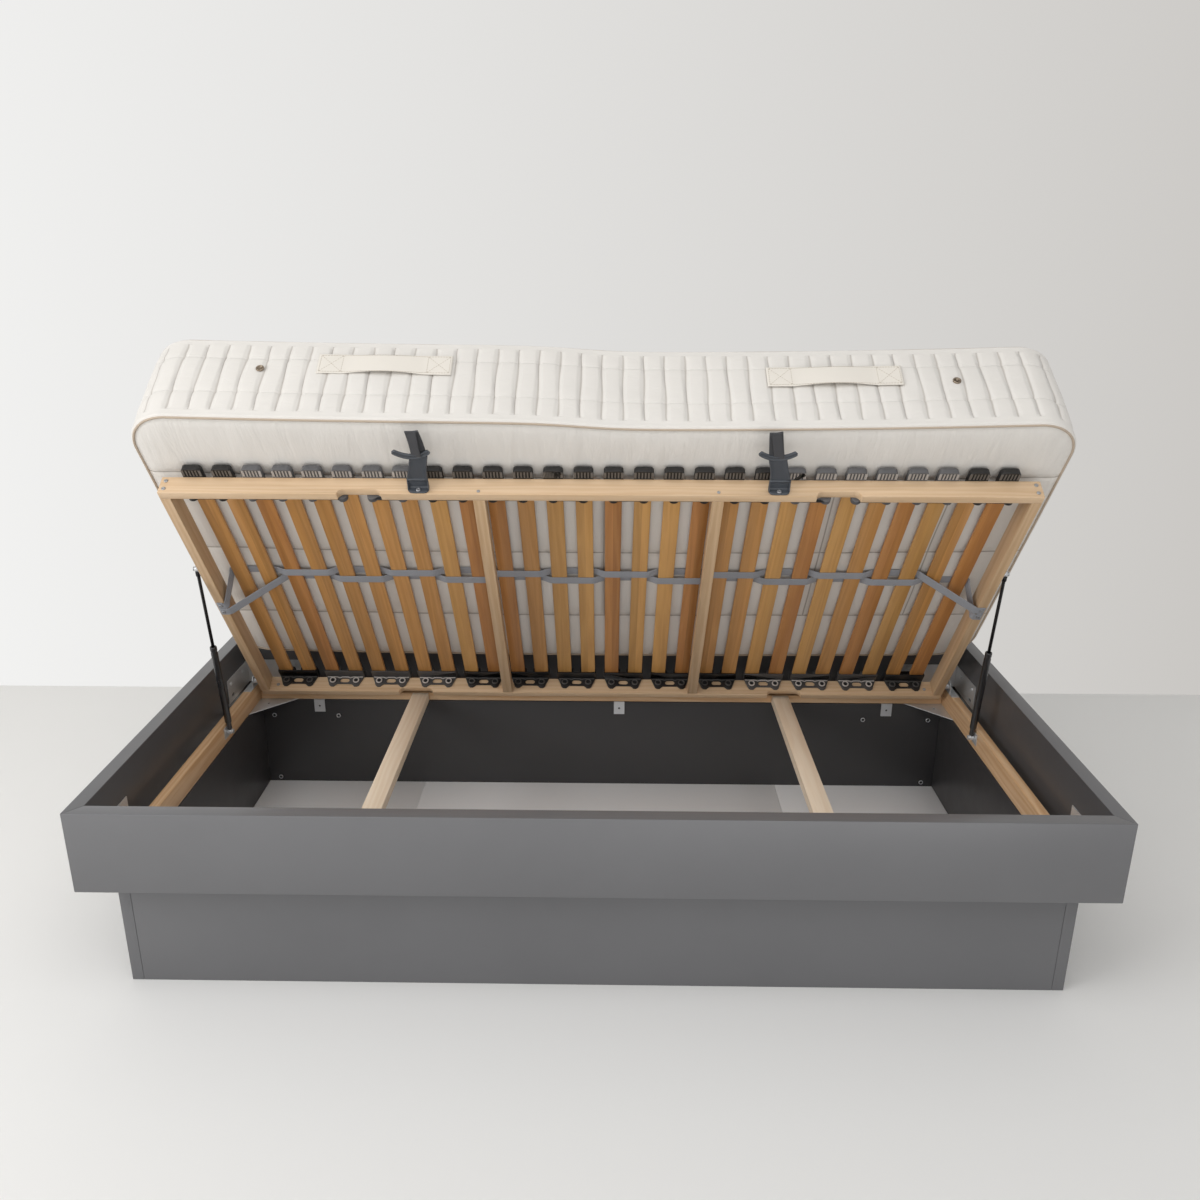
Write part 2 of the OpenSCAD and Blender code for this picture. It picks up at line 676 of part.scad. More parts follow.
module pull_loop_right() color("darkslategray") at_tongue(retainer_x) pull_loop();

// Gas struts, from the lower pivot to the upper one with the base open
up_a = pivot_in - strut_up_in;
up_b = strut_up_v - pivot_up;
up_y = pivot_y + up_a*cos(open_angle) + up_b*sin(open_angle);
up_z = pivot_z - up_a*sin(open_angle) + up_b*cos(open_angle);
strut_length = norm([up_y-strut_low_y, up_z-strut_low_z]);
strut_lean = atan2(strut_low_y-up_y, up_z-strut_low_z);
eye_r = 6.8;
stud_head = stud_r + 2; // radius of the head on the lower stud
eye_half = 5;
// Children stand along +Z on the lower pivot, in the plane x = 0
module at_strut(s) {
  translate([s*strut_x,strut_low_y,strut_low_z]) rotate([strut_lean,0,0])
    mirror([s < 0 ? 1 : 0,0,0]) children();
}
module cylinder_body() difference() {
  union() {
    rod_x(-eye_half,eye_half,0,0,eye_r);
    translate([0,0,stud_head+fit])
      cylinder(r = cylinder_r, h = cylinder_length-stud_head-fit, $fn = 32);
  }
  rod_x(-eye_half-3,eye_half+3,0,0,stud_r+run);
  translate([0,0,14]) cylinder(r = rod_r+run, h = cylinder_length, $fn = 32);
}
// The rod's stud stops just short of the base's plate: this pivot is left open
module rod_body() {
  z0 = cylinder_length - 55;
  stud = strut_x - B2 - fit - steel;
  translate([0,0,z0]) cylinder(r = rod_r, h = strut_length-4-z0, $fn = 32);
  translate([0,0,strut_length-20]) cylinder(r = 5, h = 15, $fn = 32);
  rod_x(-eye_half,eye_half,0,strut_length,eye_r);
  rod_x(-stud,0,0,strut_length,stud_r);
}
module strut_cylinder_left() color("black") at_strut(-1) cylinder_body();
module strut_cylinder_right() color("black") at_strut(1) cylinder_body();
module strut_rod_left() color("silver") at_strut(-1) rod_body();
module strut_rod_right() color("silver") at_strut(1) rod_body();

// Mattress border: points as [x, y, outward x, outward y, groove depth], na and
// nb steps along the sides, with a stitched channel at every second point
function sag(x) = mattress_sag*(1-pow(x/mx,2));
function along(half, n, i) = (half-corner_r)*(2*i/n-1);
function arc(sx, sy, a) = [sx*(mx-corner_r)+corner_r*cos(a),
                           sy*(my-corner_r)+corner_r*sin(a),cos(a),sin(a),0];
turns = [18,36,54,72];
function border(na, nb, deep) = concat(
  [for (i = [0:na]) [along(mx,na,i),-my,0,-1,i%2 == 0 ? deep : 0]],
  [for (a = turns) arc(1,-1,a-90)],
  [for (i = [0:nb]) [mx,along(my,nb,i),1,0,i%2 == 0 ? deep : 0]],
  [for (a = turns) arc(1,1,a)],
  [for (i = [0:na]) [-along(mx,na,i),my,0,1,i%2 == 0 ? deep : 0]],
  [for (a = turns) arc(-1,1,a+90)],
  [for (i = [0:nb]) [-mx,-along(my,nb,i),-1,0,i%2 == 0 ? deep : 0]],
  [for (a = turns) arc(-1,-1,a+180)]);
steps_x = 2*floor(2*(mx-corner_r)/channel);
steps_y = 2*floor(2*(my-corner_r)/channel);
outline = border(steps_x,steps_y,channel_depth);
module at_mattress() {
  lift() translate([mattress_shift,-mattress_in-my,mattress_up]) children();
}
edge_in = 4;            // how far the border draws in above its slanted edge
module mattress_body() {
  n = len(outline);
  levels = [[0,edge_slant,0],[edge_slant,edge_in,0.4],[mattress_thick/2,0,1],
            [mattress_thick-edge_slant,edge_in,0.4],[mattress_thick,edge_slant,0]];
  m = len(levels);
  v = concat([for (l = levels, q = outline) let (d = l[1]+q[4]*l[2])
      [q[0]-q[2]*d, q[1]-q[3]*d+sag(q[0]), l[0]]],
    [[0,mattress_sag,0],[0,mattress_sag,mattress_thick+crown]]);
  f = concat([for (l = [0:m-2], i = [0:n-1]) let (j = (i+1)%n)
      each [[l*n+i,(l+1)*n+j,l*n+j],[l*n+i,(l+1)*n+i,(l+1)*n+j]]],
    [for (i = [0:n-1]) [i,(i+1)%n,m*n]],
    [for (i = [0:n-1]) [(m-1)*n+(i+1)%n,(m-1)*n+i,m*n+1]]);
  polyhedron(v,f);
}
module mattress() color("ivory") at_mattress() mattress_body();
// Corded seams that lie on the slanted lower and upper edge of the border
cord = border(20,8,0);
slant_run = edge_slant - edge_in;
slant_length = norm([slant_run,edge_slant]);
seat = piping_r + fit;
cord_in = (edge_slant + edge_in)/2 - seat*edge_slant/slant_length;
cord_up = edge_slant/2 - seat*slant_run/slant_length;
module mattress_piping() color("tan") at_mattress() for (z = [cord_up,mattress_thick-cord_up])
  ring([for (q = cord) [q[0]-q[2]*cord_in,q[1]-q[3]*cord_in+sag(q[0]),z]],
       [for (q = cord) [q[2],q[3],0]], piping_r);
// Plain carrying handles sewn down at both ends on the opening side, as
// [middle along the side, middle above the underside]
handle_places = [[-468,169],[500,156]];
handle_half = [145, 33];
handle_thick = 1.6;
handle_bow = 7;
module mattress_handles() color("wheat") at_mattress() for (h = handle_places)
  ribbon([for (k = [-6:6]) let (t = k/6, x = h[0]+handle_half[0]*t)
    [x,-my-handle_thick/2-fit-handle_bow*max(0,1-2*t*t)+sag(x),h[1]]],
    [0,0,handle_half[1]],[0,handle_thick/2,0]);
// Air vents, seated on the nearer of the two ridges beside them
vent_places = [[-735,152],[757,137]];
vent_r = 9;
function groove(x) = let (t = (x/(mx-corner_r)+1)*steps_x/2, f = abs(t-2*round(t/2)))
  channel_depth*(1-f);
function border_in(x, z) = let (f = abs(z-mattress_thick/2)/(mattress_thick/2-edge_slant))
  edge_in*f + groove(x)*(1-0.6*f);
module mattress_vents() color("silver") at_mattress() for (p = vent_places) {
  deep = min(border_in(p[0]-vent_r,p[1]),border_in(p[0]+vent_r,p[1]));
  translate([p[0],-my+sag(p[0])+deep-2*fit,p[1]]) rotate([90,0,0]) difference() {
    cylinder(r = vent_r, h = 3, $fn = 32);
    translate([0,0,1.5]) cylinder(r = vent_r-5, h = 3, $fn = 24);
  }
}

surround_front();
surround_back();
surround_left();
surround_right();
corner_angles();
carrier_brackets();
plinth_front();
plinth_back();
plinth_left();
plinth_right();
plinth_bolts();
floor_panel_left();
floor_panel_middle();
floor_panel_right();
end_batten_left();
end_batten_right();
front_batten();
hinge_side_batten();
cross_slat_left();
cross_slat_right();
corner_plates();
batten_angles();
hinge_brackets();
strut_lower_mounts();
base_rail_front();
base_rail_hinge();
base_rail_left();
base_rail_right();
base_rungs();
slats_golden();
slats_honey();
slats_russet();
twin_caps_dark();
twin_caps_grey();
nose_caps_dark();
nose_caps_grey();
belt_a();
belt_b();
base_screws();
hinge_leaves();
strut_upper_mounts();
retainer_bases();
retainer_tongue_left();
retainer_tongue_right();
pull_loop_left();
pull_loop_right();
strut_cylinder_left();
strut_cylinder_right();
strut_rod_left();
strut_rod_right();
mattress();
mattress_piping();
mattress_handles();
mattress_vents();
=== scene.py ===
import json
import math

import bmesh
import bpy
import numpy as np
from mathutils import Matrix, Vector


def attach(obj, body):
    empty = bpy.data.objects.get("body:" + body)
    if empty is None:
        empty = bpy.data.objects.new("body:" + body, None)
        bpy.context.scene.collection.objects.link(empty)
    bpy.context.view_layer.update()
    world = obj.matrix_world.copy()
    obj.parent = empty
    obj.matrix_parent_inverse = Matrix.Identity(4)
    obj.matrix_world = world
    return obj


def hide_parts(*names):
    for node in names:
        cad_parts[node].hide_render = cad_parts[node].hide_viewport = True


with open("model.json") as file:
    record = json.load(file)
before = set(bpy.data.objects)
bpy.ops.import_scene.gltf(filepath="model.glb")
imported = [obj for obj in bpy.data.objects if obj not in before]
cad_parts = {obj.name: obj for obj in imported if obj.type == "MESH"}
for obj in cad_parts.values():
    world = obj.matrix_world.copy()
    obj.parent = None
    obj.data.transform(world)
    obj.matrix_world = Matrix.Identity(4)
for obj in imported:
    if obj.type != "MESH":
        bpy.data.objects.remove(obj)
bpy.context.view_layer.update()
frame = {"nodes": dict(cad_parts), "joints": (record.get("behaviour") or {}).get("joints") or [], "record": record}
nodes = frame["nodes"]


# The studio: a white floor, a pale wall close behind the bed, a large soft
# window to the left, a soft ceiling and a low fill from the front.
# The wall is bare from its back, so that views from behind see past it.
camera_place = Vector((0.02501, -2.24748, 1.49425))
camera_turn = math.radians(-0.86)
camera_dip = math.radians(18.62)
camera_roll = math.radians(0.10)
lens = 30.74                    # millimetres on a 36 mm wide sensor
lens_shift = (0.00435, -0.00706)
wall_y, wall_high = 1.09, 6.0
floor_reach = 14.0


def fill(tree, socket, value):
    """Puts a plain value or another node's output into a socket."""
    if isinstance(value, bpy.types.NodeSocket):
        tree.links.new(value, socket)
    else:
        socket.default_value = value


def add(tree, kind, *terms, **settings):
    """A shader node: terms fill its sockets in order, settings its sockets or properties by
    name. Properties are set first, because some of them change the sockets."""
    made = tree.nodes.new("ShaderNode" + kind)
    named = {name.replace("_", " "): value for name, value in settings.items()}
    for name, value in settings.items():
        if name.replace("_", " ") not in made.inputs:
            setattr(made, name, value)
    for name in [name for name in named if name in made.inputs]:
        fill(tree, made.inputs[name], named[name])
    for socket, term in zip(made.inputs, terms):
        fill(tree, socket, term)
    return made


def sums(tree, operation, *terms):
    """A Math node's result; each term is a number or another node's output."""
    return add(tree, "Math", *terms, operation=operation).outputs[0]


def ramp(tree, value, start, end, first, last, kind="LINEAR"):
    """A ramp over a value: first at start and before, last at end and past it."""
    return add(tree, "MapRange", value, start, end, first, last, interpolation_type=kind).outputs[0]


def mixed(tree, share, first, last):
    """The first colour where the share is 0, the last where it is 1."""
    made = add(tree, "Mix", data_type="RGBA")
    for socket, value in ((0, share), (6, first), (7, last)):
        fill(tree, made.inputs[socket], value)
    return made.outputs[2]


def scaled(tree, colour, factor):
    """A colour times a factor."""
    return add(tree, "VectorMath", colour, operation="SCALE", Scale=factor).outputs[0]


def linear(red, green, blue):
    """A colour given as it looks on screen, 0 to 255, as scene-linear values."""
    share = np.array([red, green, blue]) / 255
    high = ((share + 0.055) / 1.055) ** 2.4
    return (*np.where(share <= 0.04045, share / 12.92, high), 1.0)


def quads_of(grid, wrap_u=False, wrap_v=False):
    """Four-sided faces over a grid of point numbers, or the values at their corners over a
    grid of values; a wrapped side joins its ends."""
    if wrap_u:
        grid = np.vstack([grid, grid[:1]])
    if wrap_v:
        grid = np.hstack([grid, grid[:, :1]])
    around = [grid[:-1, :-1], grid[1:, :-1], grid[1:, 1:], grid[:-1, 1:]]
    return np.stack(around, 2).reshape(-1, 4, *grid.shape[2:])


def numbers(rows, columns):
    """The grid of point numbers of rows times columns points."""
    return np.arange(rows * columns).reshape(rows, columns)


def mesh_object(name, points, faces, material, flat_last=0):
    """A mesh in the scene, smooth apart from the last few faces."""
    mesh = bpy.data.meshes.new(name)
    mesh.from_pydata(np.reshape(points, (-1, 3)), [], faces)
    mesh.polygons.foreach_set("use_smooth", np.arange(len(faces)) < len(faces) - flat_last)
    mesh.materials.append(material)
    made = bpy.data.objects.new(name, mesh)
    bpy.context.scene.collection.objects.link(made)
    return made


def sheet_mesh(name, points, material, wrap_u=False, wrap_v=False):
    """A smooth mesh over a grid of points, rows by columns; a wrapped side joins its ends."""
    return mesh_object(name, points, quads_of(numbers(*points.shape[:2]), wrap_u, wrap_v).tolist(), material)


def object_place(tree):
    """Places in the bed's frame, in metres."""
    return add(tree, "TexCoord").outputs["Object"]


def stage_material(name, colour, painted_falloff=None, one_sided=False):
    """A matt surface of one colour. Cameras and gloss see it glow in a pair of colours that run
    from left to right, a painted fall-off of the window's light; one_sided leaves its back clear."""
    made = bpy.data.materials.new(name)
    made.use_nodes = True
    tree = made.node_tree
    tree.nodes.clear()
    last = add(tree, "BsdfDiffuse", Color=colour).outputs[0]
    if painted_falloff:
        x = add(tree, "SeparateXYZ", object_place(tree)).outputs["X"]
        glow = add(tree, "Emission", mixed(tree, ramp(tree, x, -2.6, 2.6, 0.0, 1.0), *painted_falloff), 1.0)
        rays = add(tree, "LightPath").outputs
        seen = sums(tree, "MAXIMUM", rays["Is Camera Ray"], rays["Is Glossy Ray"])
        last = add(tree, "MixShader", seen, last, glow.outputs[0]).outputs[0]
    if one_sided:
        back = add(tree, "NewGeometry").outputs["Backfacing"]
        last = add(tree, "MixShader", back, last, add(tree, "BsdfTransparent").outputs[0]).outputs[0]
    add(tree, "OutputMaterial", last)
    return made


def stage_sheet(name, near, far, material):
    """A flat rectangle from its near left corner to its far right one."""
    (x0, y0, z0), (x1, y1, z1) = near, far
    corners = [[(x0, y0, z0), (x0, y1, z1)], [(x1, y0, z0), (x1, y1, z1)]]
    return sheet_mesh(name, np.array(corners), material)


stage_sheet("floor", (-floor_reach, -floor_reach, 0), (floor_reach, floor_reach, 0),
                stage_material("floor white", linear(236, 235, 233)))
# The wall glows to the camera, brighter on the left than on the right: painted light fall-off.
stage_sheet("wall", (-floor_reach, wall_y, 0), (floor_reach, wall_y, wall_high), stage_material(
        "wall pale, painted light falloff", linear(226, 225, 222), (linear(246, 246, 245), linear(196, 193, 189)), one_sided=True))

camera = bpy.data.objects.new("camera", bpy.data.cameras.new("camera"))
bpy.context.scene.collection.objects.link(camera)
bpy.context.scene.camera = camera
camera.data.sensor_width = 36
camera.data.lens = lens
camera.data.shift_x, camera.data.shift_y = lens_shift
ahead = Vector((math.sin(camera_turn) * math.cos(camera_dip),
                math.cos(camera_turn) * math.cos(camera_dip), -math.sin(camera_dip)))
level = Vector((math.cos(camera_turn), -math.sin(camera_turn), 0))
upright = level.cross(ahead)
right = level * math.cos(camera_roll) + upright * math.sin(camera_roll)
above = upright * math.cos(camera_roll) - level * math.sin(camera_roll)
camera.matrix_world = Matrix.Translation(camera_place) @ Matrix((right, above, -ahead)).transposed().to_4x4()


def soft_lamp(name, place, target, size, power):
    """A rectangular studio light at place, turned towards target."""
    lamp = bpy.data.lights.new(name, "AREA")
    lamp.shape = "RECTANGLE"
    lamp.size, lamp.size_y = size
    lamp.energy = power
    made = bpy.data.objects.new(name, lamp)
    bpy.context.scene.collection.objects.link(made)
    made.location = place
    made.rotation_euler = (Vector(target) - Vector(place)).to_track_quat("-Z", "Y").to_euler()


soft_lamp("window", (-3.1, -1.9, 1.7), (0, 0, 0.5), (2.2, 1.8), 44)
soft_lamp("ceiling", (-0.3, -1.5, 3.4), (0, 0.1, 0.2), (4.0, 2.4), 35)
soft_lamp("low fill", (0.3, -3.6, 0.5), (0, 0.2, 0.8), (3.2, 0.9), 20)
world = bpy.data.worlds.new("studio")
bpy.context.scene.world = world
world.use_nodes = True
sky = world.node_tree
sky.nodes.clear()
ambient = add(sky, "Background", Color=(1, 1, 1, 1), Strength=0.56).outputs[0]
behind = add(sky, "Background", Color=linear(226, 225, 223), Strength=1.0).outputs[0]
camera_ray = add(sky, "LightPath").outputs["Is Camera Ray"]
add(sky, "OutputWorld", add(sky, "MixShader", camera_ray, ambient, behind).outputs[0])
bpy.context.scene.view_settings.view_transform = "Standard"


# The surround and the plinth: chipboard edged and lacquered in satin dark grey,
# the surround mitred at its corners, the plinth's long boards between its ends.
# Each sharp edge of a board is eased by a millimetre, as sanding leaves it.
def shader_group(name, inputs, outputs):
    """An empty shader group with named sockets: its tree, its inputs and its outputs."""
    tree = bpy.data.node_groups.new(name, "ShaderNodeTree")
    for label, kind in inputs:
        tree.interface.new_socket(label, in_out="INPUT", socket_type="NodeSocket" + kind)
    for label, kind in outputs:
        tree.interface.new_socket(label, in_out="OUTPUT", socket_type="NodeSocket" + kind)
    return tree, tree.nodes.new("NodeGroupInput").outputs, tree.nodes.new("NodeGroupOutput").inputs


look_outputs = (("Colour", "Color"), ("Roughness", "Float"), ("Height", "Float"))


def rubbed_group():
    """Handling marks: broad faint clouds in the tone, and fine speckle in the gloss."""
    tree, ins, outs = shader_group("handling marks", (
        ("Vector", "Vector"), ("Colour", "Color"), ("Cloud", "Float"), ("Gloss", "Float")), look_outputs)
    place = ins["Vector"]
    cloud = add(tree, "TexNoise", Vector=place, Scale=2.3, Detail=5.0, Roughness=0.55).outputs["Fac"]
    fine = add(tree, "TexNoise", Vector=place, Scale=900.0, Detail=2.0).outputs["Fac"]
    smear = add(tree, "TexNoise", Vector=place, Scale=14.0, Detail=6.0, Roughness=0.65).outputs["Fac"]
    amount = sums(tree, "MULTIPLY", ramp(tree, cloud, 0.3, 0.7, -1.0, 1.0), ins["Cloud"])
    fill(tree, outs["Colour"], scaled(tree, ins["Colour"], sums(tree, "ADD", amount, 1.0)))
    least = sums(tree, "SUBTRACT", ins["Gloss"], 0.08)
    fill(tree, outs["Roughness"], sums(tree, "MULTIPLY_ADD", smear, 0.16, least))
    fill(tree, outs["Height"], fine)
    return tree


rubbed = rubbed_group()


def use_group(tree, group, **settings):
    """A group placed in a material: its outputs, once its sockets are filled."""
    made = tree.nodes.new("ShaderNodeGroup")
    made.node_tree = group
    for name, value in settings.items():
        fill(tree, made.inputs[name], value)
    return made.outputs


def blank(name, **constants):
    """A new material, its tree, and its shader's sockets, some of them set."""
    made = bpy.data.materials.new(name)
    made.use_nodes = True
    shader = made.node_tree.nodes["Principled BSDF"].inputs
    for label, value in constants.items():
        shader[label.replace("_", " ")].default_value = value
    return made, made.node_tree, shader


def dress(tree, shader, colour, rough, height, depth, strength=1.0):
    """Joins a shader to its colour, its roughness and a bump of that depth in metres, which
    is returned."""
    fill(tree, shader["Base Color"], colour)
    fill(tree, shader["Roughness"], rough)
    bump = add(tree, "Bump", Height=height, Distance=depth, Strength=strength)
    fill(tree, shader["Normal"], bump.outputs[0])
    return bump


def marked_material(name, colour, cloud, gloss, grit, metallic=0.0, coat=0.0, sheen=0.0, masked=None):
    """A plain finish with handling marks; grit is the depth of its fine texture in metres.
    masked is a second colour, and the function of tree and place that says where it shows."""
    made, tree, shader = blank(
        name, Metallic=metallic, Coat_Weight=coat, Coat_Roughness=0.25, Sheen_Weight=sheen)
    place = object_place(tree)
    if masked:
        colour = mixed(tree, masked[1](tree, place), colour, masked[0])
    marks = use_group(tree, rubbed, Vector=place, Colour=colour, Cloud=cloud, Gloss=gloss)
    dress(tree, shader, marks["Colour"], marks["Roughness"], marks["Height"], grit)
    return made


def finish(node, material):
    """The CAD piece keeps its shape and takes this material in place of its plain one."""
    nodes[node].data.materials.clear()
    nodes[node].data.materials.append(material)


slot_of = {part["node"]: part["material_slot"] for part in frame["record"]["subparts"]}
body_of = {node: body for body, held in frame["record"]["behaviour"]["bodies"].items() for node in held}


def stands_for(made, body, slot, *cad_nodes):
    """Hides the CAD nodes that the finished piece replaces and hangs the piece on its body. The slot is not used.
    """
    if cad_nodes:
        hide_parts(*cad_nodes)
    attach(made, body)


def eased(node, material, width):
    """A copy of the CAD piece with its corners merged and its sharp edges rounded off."""
    work = bmesh.new()
    work.from_mesh(nodes[node].data)
    bmesh.ops.remove_doubles(work, verts=work.verts, dist=1e-5)
    bmesh.ops.dissolve_limit(work, angle_limit=math.radians(0.5), verts=work.verts, edges=work.edges)
    made = mesh_object(node + "_eased", [], [], material)
    mesh = made.data
    work.to_mesh(mesh)
    work.free()
    mesh.polygons.foreach_set("use_smooth", np.ones(len(mesh.polygons), bool))
    round_off = made.modifiers.new("eased edges", "BEVEL")
    round_off.width = width
    round_off.segments = 2
    round_off.limit_method = "ANGLE"
    round_off.angle_limit = math.radians(32)
    round_off.use_clamp_overlap = False
    round_off.harden_normals = True
    stands_for(made, body_of[node], slot_of[node], node)


def within(half_x, half_y):
    """A mask of the places less than half_x and half_y from the middle of the bed."""
    def mask(tree, place):
        apart = add(tree, "SeparateXYZ", place).outputs
        near = [sums(tree, "LESS_THAN", sums(tree, "ABSOLUTE", apart[axis]), half)
                for axis, half in (("X", half_x), ("Y", half_y))]
        return sums(tree, "MULTIPLY", *near)

    return mask


board_edge, panel_edge = 0.0012, 0.0006
inner_x, inner_y, plinth_in_x, plinth_in_y = 1.017, 0.467, 0.968, 0.418
shade_past_face = 0.001               # the painted inner shade reaches this far past the inner faces
# Inner faces of the surround and the plinth are darker: painted shade inside the box.
surround_lacquer = marked_material(
    "surround lacquer, painted inner shade", linear(104, 104, 106), 0.05, 0.42, 6e-6, coat=0.15,
    masked=(linear(80, 80, 82), within(inner_x + shade_past_face, inner_y + shade_past_face)))
plinth_lacquer = marked_material(
    "plinth lacquer, painted inner shade", linear(101, 101, 103), 0.05, 0.45, 6e-6, coat=0.12,
    masked=(linear(60, 59, 60), within(plinth_in_x + shade_past_face, plinth_in_y + shade_past_face)))
for side in ("front", "back", "left", "right"):
    eased("surround_" + side, surround_lacquer, board_edge)
    eased("plinth_" + side, plinth_lacquer, board_edge)
panel_white = marked_material("white faced hardboard", linear(248, 249, 250), 0.03, 0.4, 4e-6)
for place in ("left", "middle", "right"):
    eased("floor_panel_" + place, panel_white, panel_edge)


# Zinc plated steel: corner angles, channel brackets, triangular plates, small
# angles, hinge brackets and leaves, strut plates, bolt and screw heads.
# All are pressed or turned, then plated, which leaves a pale mottled sheen.
zinc = marked_material("zinc plating", linear(214, 216, 218), 0.16, 0.36, 5e-6, metallic=0.6)
for node in ("corner_angles", "carrier_brackets", "corner_plates", "batten_angles", "hinge_brackets",
             "strut_lower_mounts", "hinge_leaves", "strut_upper_mounts"):
    finish(node, zinc)
# The plinth bolts are dark all over: painted shade of their hex recesses.
bolt_recess_shade = marked_material("plinth bolt, painted recess shade", linear(58, 58, 60), 0.1, 0.4, 5e-6, metallic=0.6)
finish("plinth_bolts", bolt_recess_shade)


# Timber: battens on the plinth, loose cross slats, and the lifting base's rails
# and rungs, all of planed light wood under clear lacquer, with their long grain
# running the length of each piece.
hinge = next(joint for joint in frame["joints"] if joint["name"] == "base_hinge")
pivot = np.array(hinge["pos_m"])
open_angle = math.radians(hinge["range_deg"][1])
pivot_in = 0.0405               # pivot in from the base's hinge edge
pivot_up = 0.0194               # pivot above the base's underside


def on_base(points):
    """Points of the base's own frame (hinge edge at y 0, underside at z 0) in the bed's frame."""
    points = np.asarray(points, float)
    y = points[..., 1] + pivot_in
    z = points[..., 2] - pivot_up
    return np.stack([points[..., 0], pivot[1] + y * math.cos(open_angle) + z * math.sin(open_angle),
                     pivot[2] - y * math.sin(open_angle) + z * math.cos(open_angle)], -1)


def base_direction(x, y, z):
    """A direction of the base's own frame in the bed's frame."""
    return on_base(np.array([x, y, z], float)) - on_base(np.zeros(3))


def grain_group():
    """Wood: rings cut lengthways as stretched bands, fine pores and slow changes of tone."""
    tree, ins, outs = shader_group("long grain", (
        ("Vector", "Vector"), ("Light", "Color"), ("Dark", "Color"), ("Figure", "Float"), ("Gloss", "Float")),
        look_outputs)
    long_way = add(tree, "Mapping", Vector=ins["Vector"], Scale=(1.0, 16.0, 16.0)).outputs[0]
    pore_way = add(tree, "Mapping", Vector=ins["Vector"], Scale=(12.0, 520.0, 520.0)).outputs[0]
    bend = add(tree, "TexNoise", Vector=long_way, Scale=1.6, Detail=3.0, Roughness=0.5).outputs["Fac"]
    bands = add(tree, "TexWave", Vector=long_way, Scale=1.7, Distortion=9.0, Detail=3.0, Detail_Scale=1.3,
                wave_type="RINGS", rings_direction="X").outputs["Fac"]
    pores = add(tree, "TexNoise", Vector=pore_way, Scale=1.0, Detail=2.0).outputs["Fac"]
    slow = sums(tree, "MULTIPLY_ADD", bend, 0.55, sums(tree, "MULTIPLY", bands, ins["Figure"]))
    share = add(tree, "Math", pores, 0.35, slow, operation="MULTIPLY_ADD", use_clamp=True).outputs[0]
    fill(tree, outs["Colour"], mixed(tree, share, ins["Light"], ins["Dark"]))
    fill(tree, outs["Roughness"], sums(tree, "MULTIPLY_ADD", pores, 0.12, ins["Gloss"]))
    fill(tree, outs["Height"], pores)
    return tree


grain = grain_group()
quarter_back = math.radians(-90)
pore_deep, pore_strength = 8e-5, 0.6


def timber(name, light, dark, figure, along, gloss=0.42, coat=0.1, per_piece=0.0):
    """Wood whose grain runs along "x", "y" or "base", the raised base's own width.
    per_piece is a length along X within which one slat keeps one tone of its own."""
    made, tree, shader = blank(name, Coat_Weight=coat, Coat_Roughness=0.3)
    place = object_place(tree)
    if along == "base":
        level = add(tree, "Mapping", Vector=place, Rotation=(open_angle, 0, 0)).outputs[0]
        last = add(tree, "Mapping", Vector=level, Rotation=(0, 0, quarter_back)).outputs[0]
    else:
        turn = (0, 0, quarter_back if along == "y" else 0)
        last = add(tree, "Mapping", Vector=place, Rotation=turn, Location=(0.37, 0.61, 0.23)).outputs[0]
    if per_piece:
        x = add(tree, "SeparateXYZ", place).outputs["X"]
        number = sums(tree, "ROUND", sums(tree, "DIVIDE", x, per_piece))
        chance = add(tree, "TexWhiteNoise", noise_dimensions="1D", W=number).outputs
        moved = add(tree, "VectorMath", chance["Color"], (3.0, 3.0, 3.0), last, operation="MULTIPLY_ADD")
        last = moved.outputs[0]
    wood = use_group(tree, grain, Vector=last, Light=light, Dark=dark, Figure=figure, Gloss=gloss)
    colour = wood["Colour"]
    if per_piece:
        colour = scaled(tree, colour, ramp(tree, chance["Value"], 0.0, 1.0, 0.84, 1.12))
    dress(tree, shader, colour, wood["Roughness"], wood["Height"], pore_deep, pore_strength)
    return made


beech_pale, beech_deep = linear(230, 204, 172), linear(200, 165, 125)
end_pale, end_deep = linear(216, 189, 155), linear(182, 147, 108)
spruce_pale, spruce_deep = linear(236, 206, 168), linear(206, 162, 116)
slat_pale, slat_deep = linear(248, 235, 216), linear(232, 212, 186)
rail_wood = timber("beech rail, long grain", beech_pale, beech_deep, 0.24, "x")
end_rail_wood = timber("beech rail, cross grain", end_pale, end_deep, 0.3, "base")
batten_wood = timber("spruce batten, long grain", spruce_pale, spruce_deep, 0.4, "x")
side_batten_wood = timber("spruce batten, across", spruce_pale, spruce_deep, 0.4, "y")
cross_slat_wood = timber("pale spruce, across", slat_pale, slat_deep, 0.4, "y")
for wood, pieces in (
        (rail_wood, ("base_rail_front", "base_rail_hinge")),
        (end_rail_wood, ("base_rail_left", "base_rail_right", "base_rungs")),
        (batten_wood, ("front_batten", "hinge_side_batten")),
        (side_batten_wood, ("end_batten_left", "end_batten_right")),
        (cross_slat_wood, ("cross_slat_left", "cross_slat_right"))):
    for node in pieces:
        eased(node, wood, board_edge)


# The slats: 28 bent lamellas of glued beech veneer, lacquered, in three tones
# as they come from the batch. Each springs in a rubber cap at both ends.
slat_first, slat_pitch, slat_count = -0.8829, 0.0654, 28
slat_edge = 0.0015
slat_tones = {
    "slats_golden": (linear(218, 168, 100), linear(184, 134, 71)),
    "slats_honey": (linear(210, 156, 92), linear(175, 123, 64)),
    "slats_russet": (linear(202, 144, 81), linear(164, 106, 52)),
}
for node, (light, dark) in slat_tones.items():
    eased(node, timber("lamella " + node.split("_")[1], light, dark, 0.3, "base", gloss=0.36, coat=0.25,
                       per_piece=slat_pitch), slat_edge)


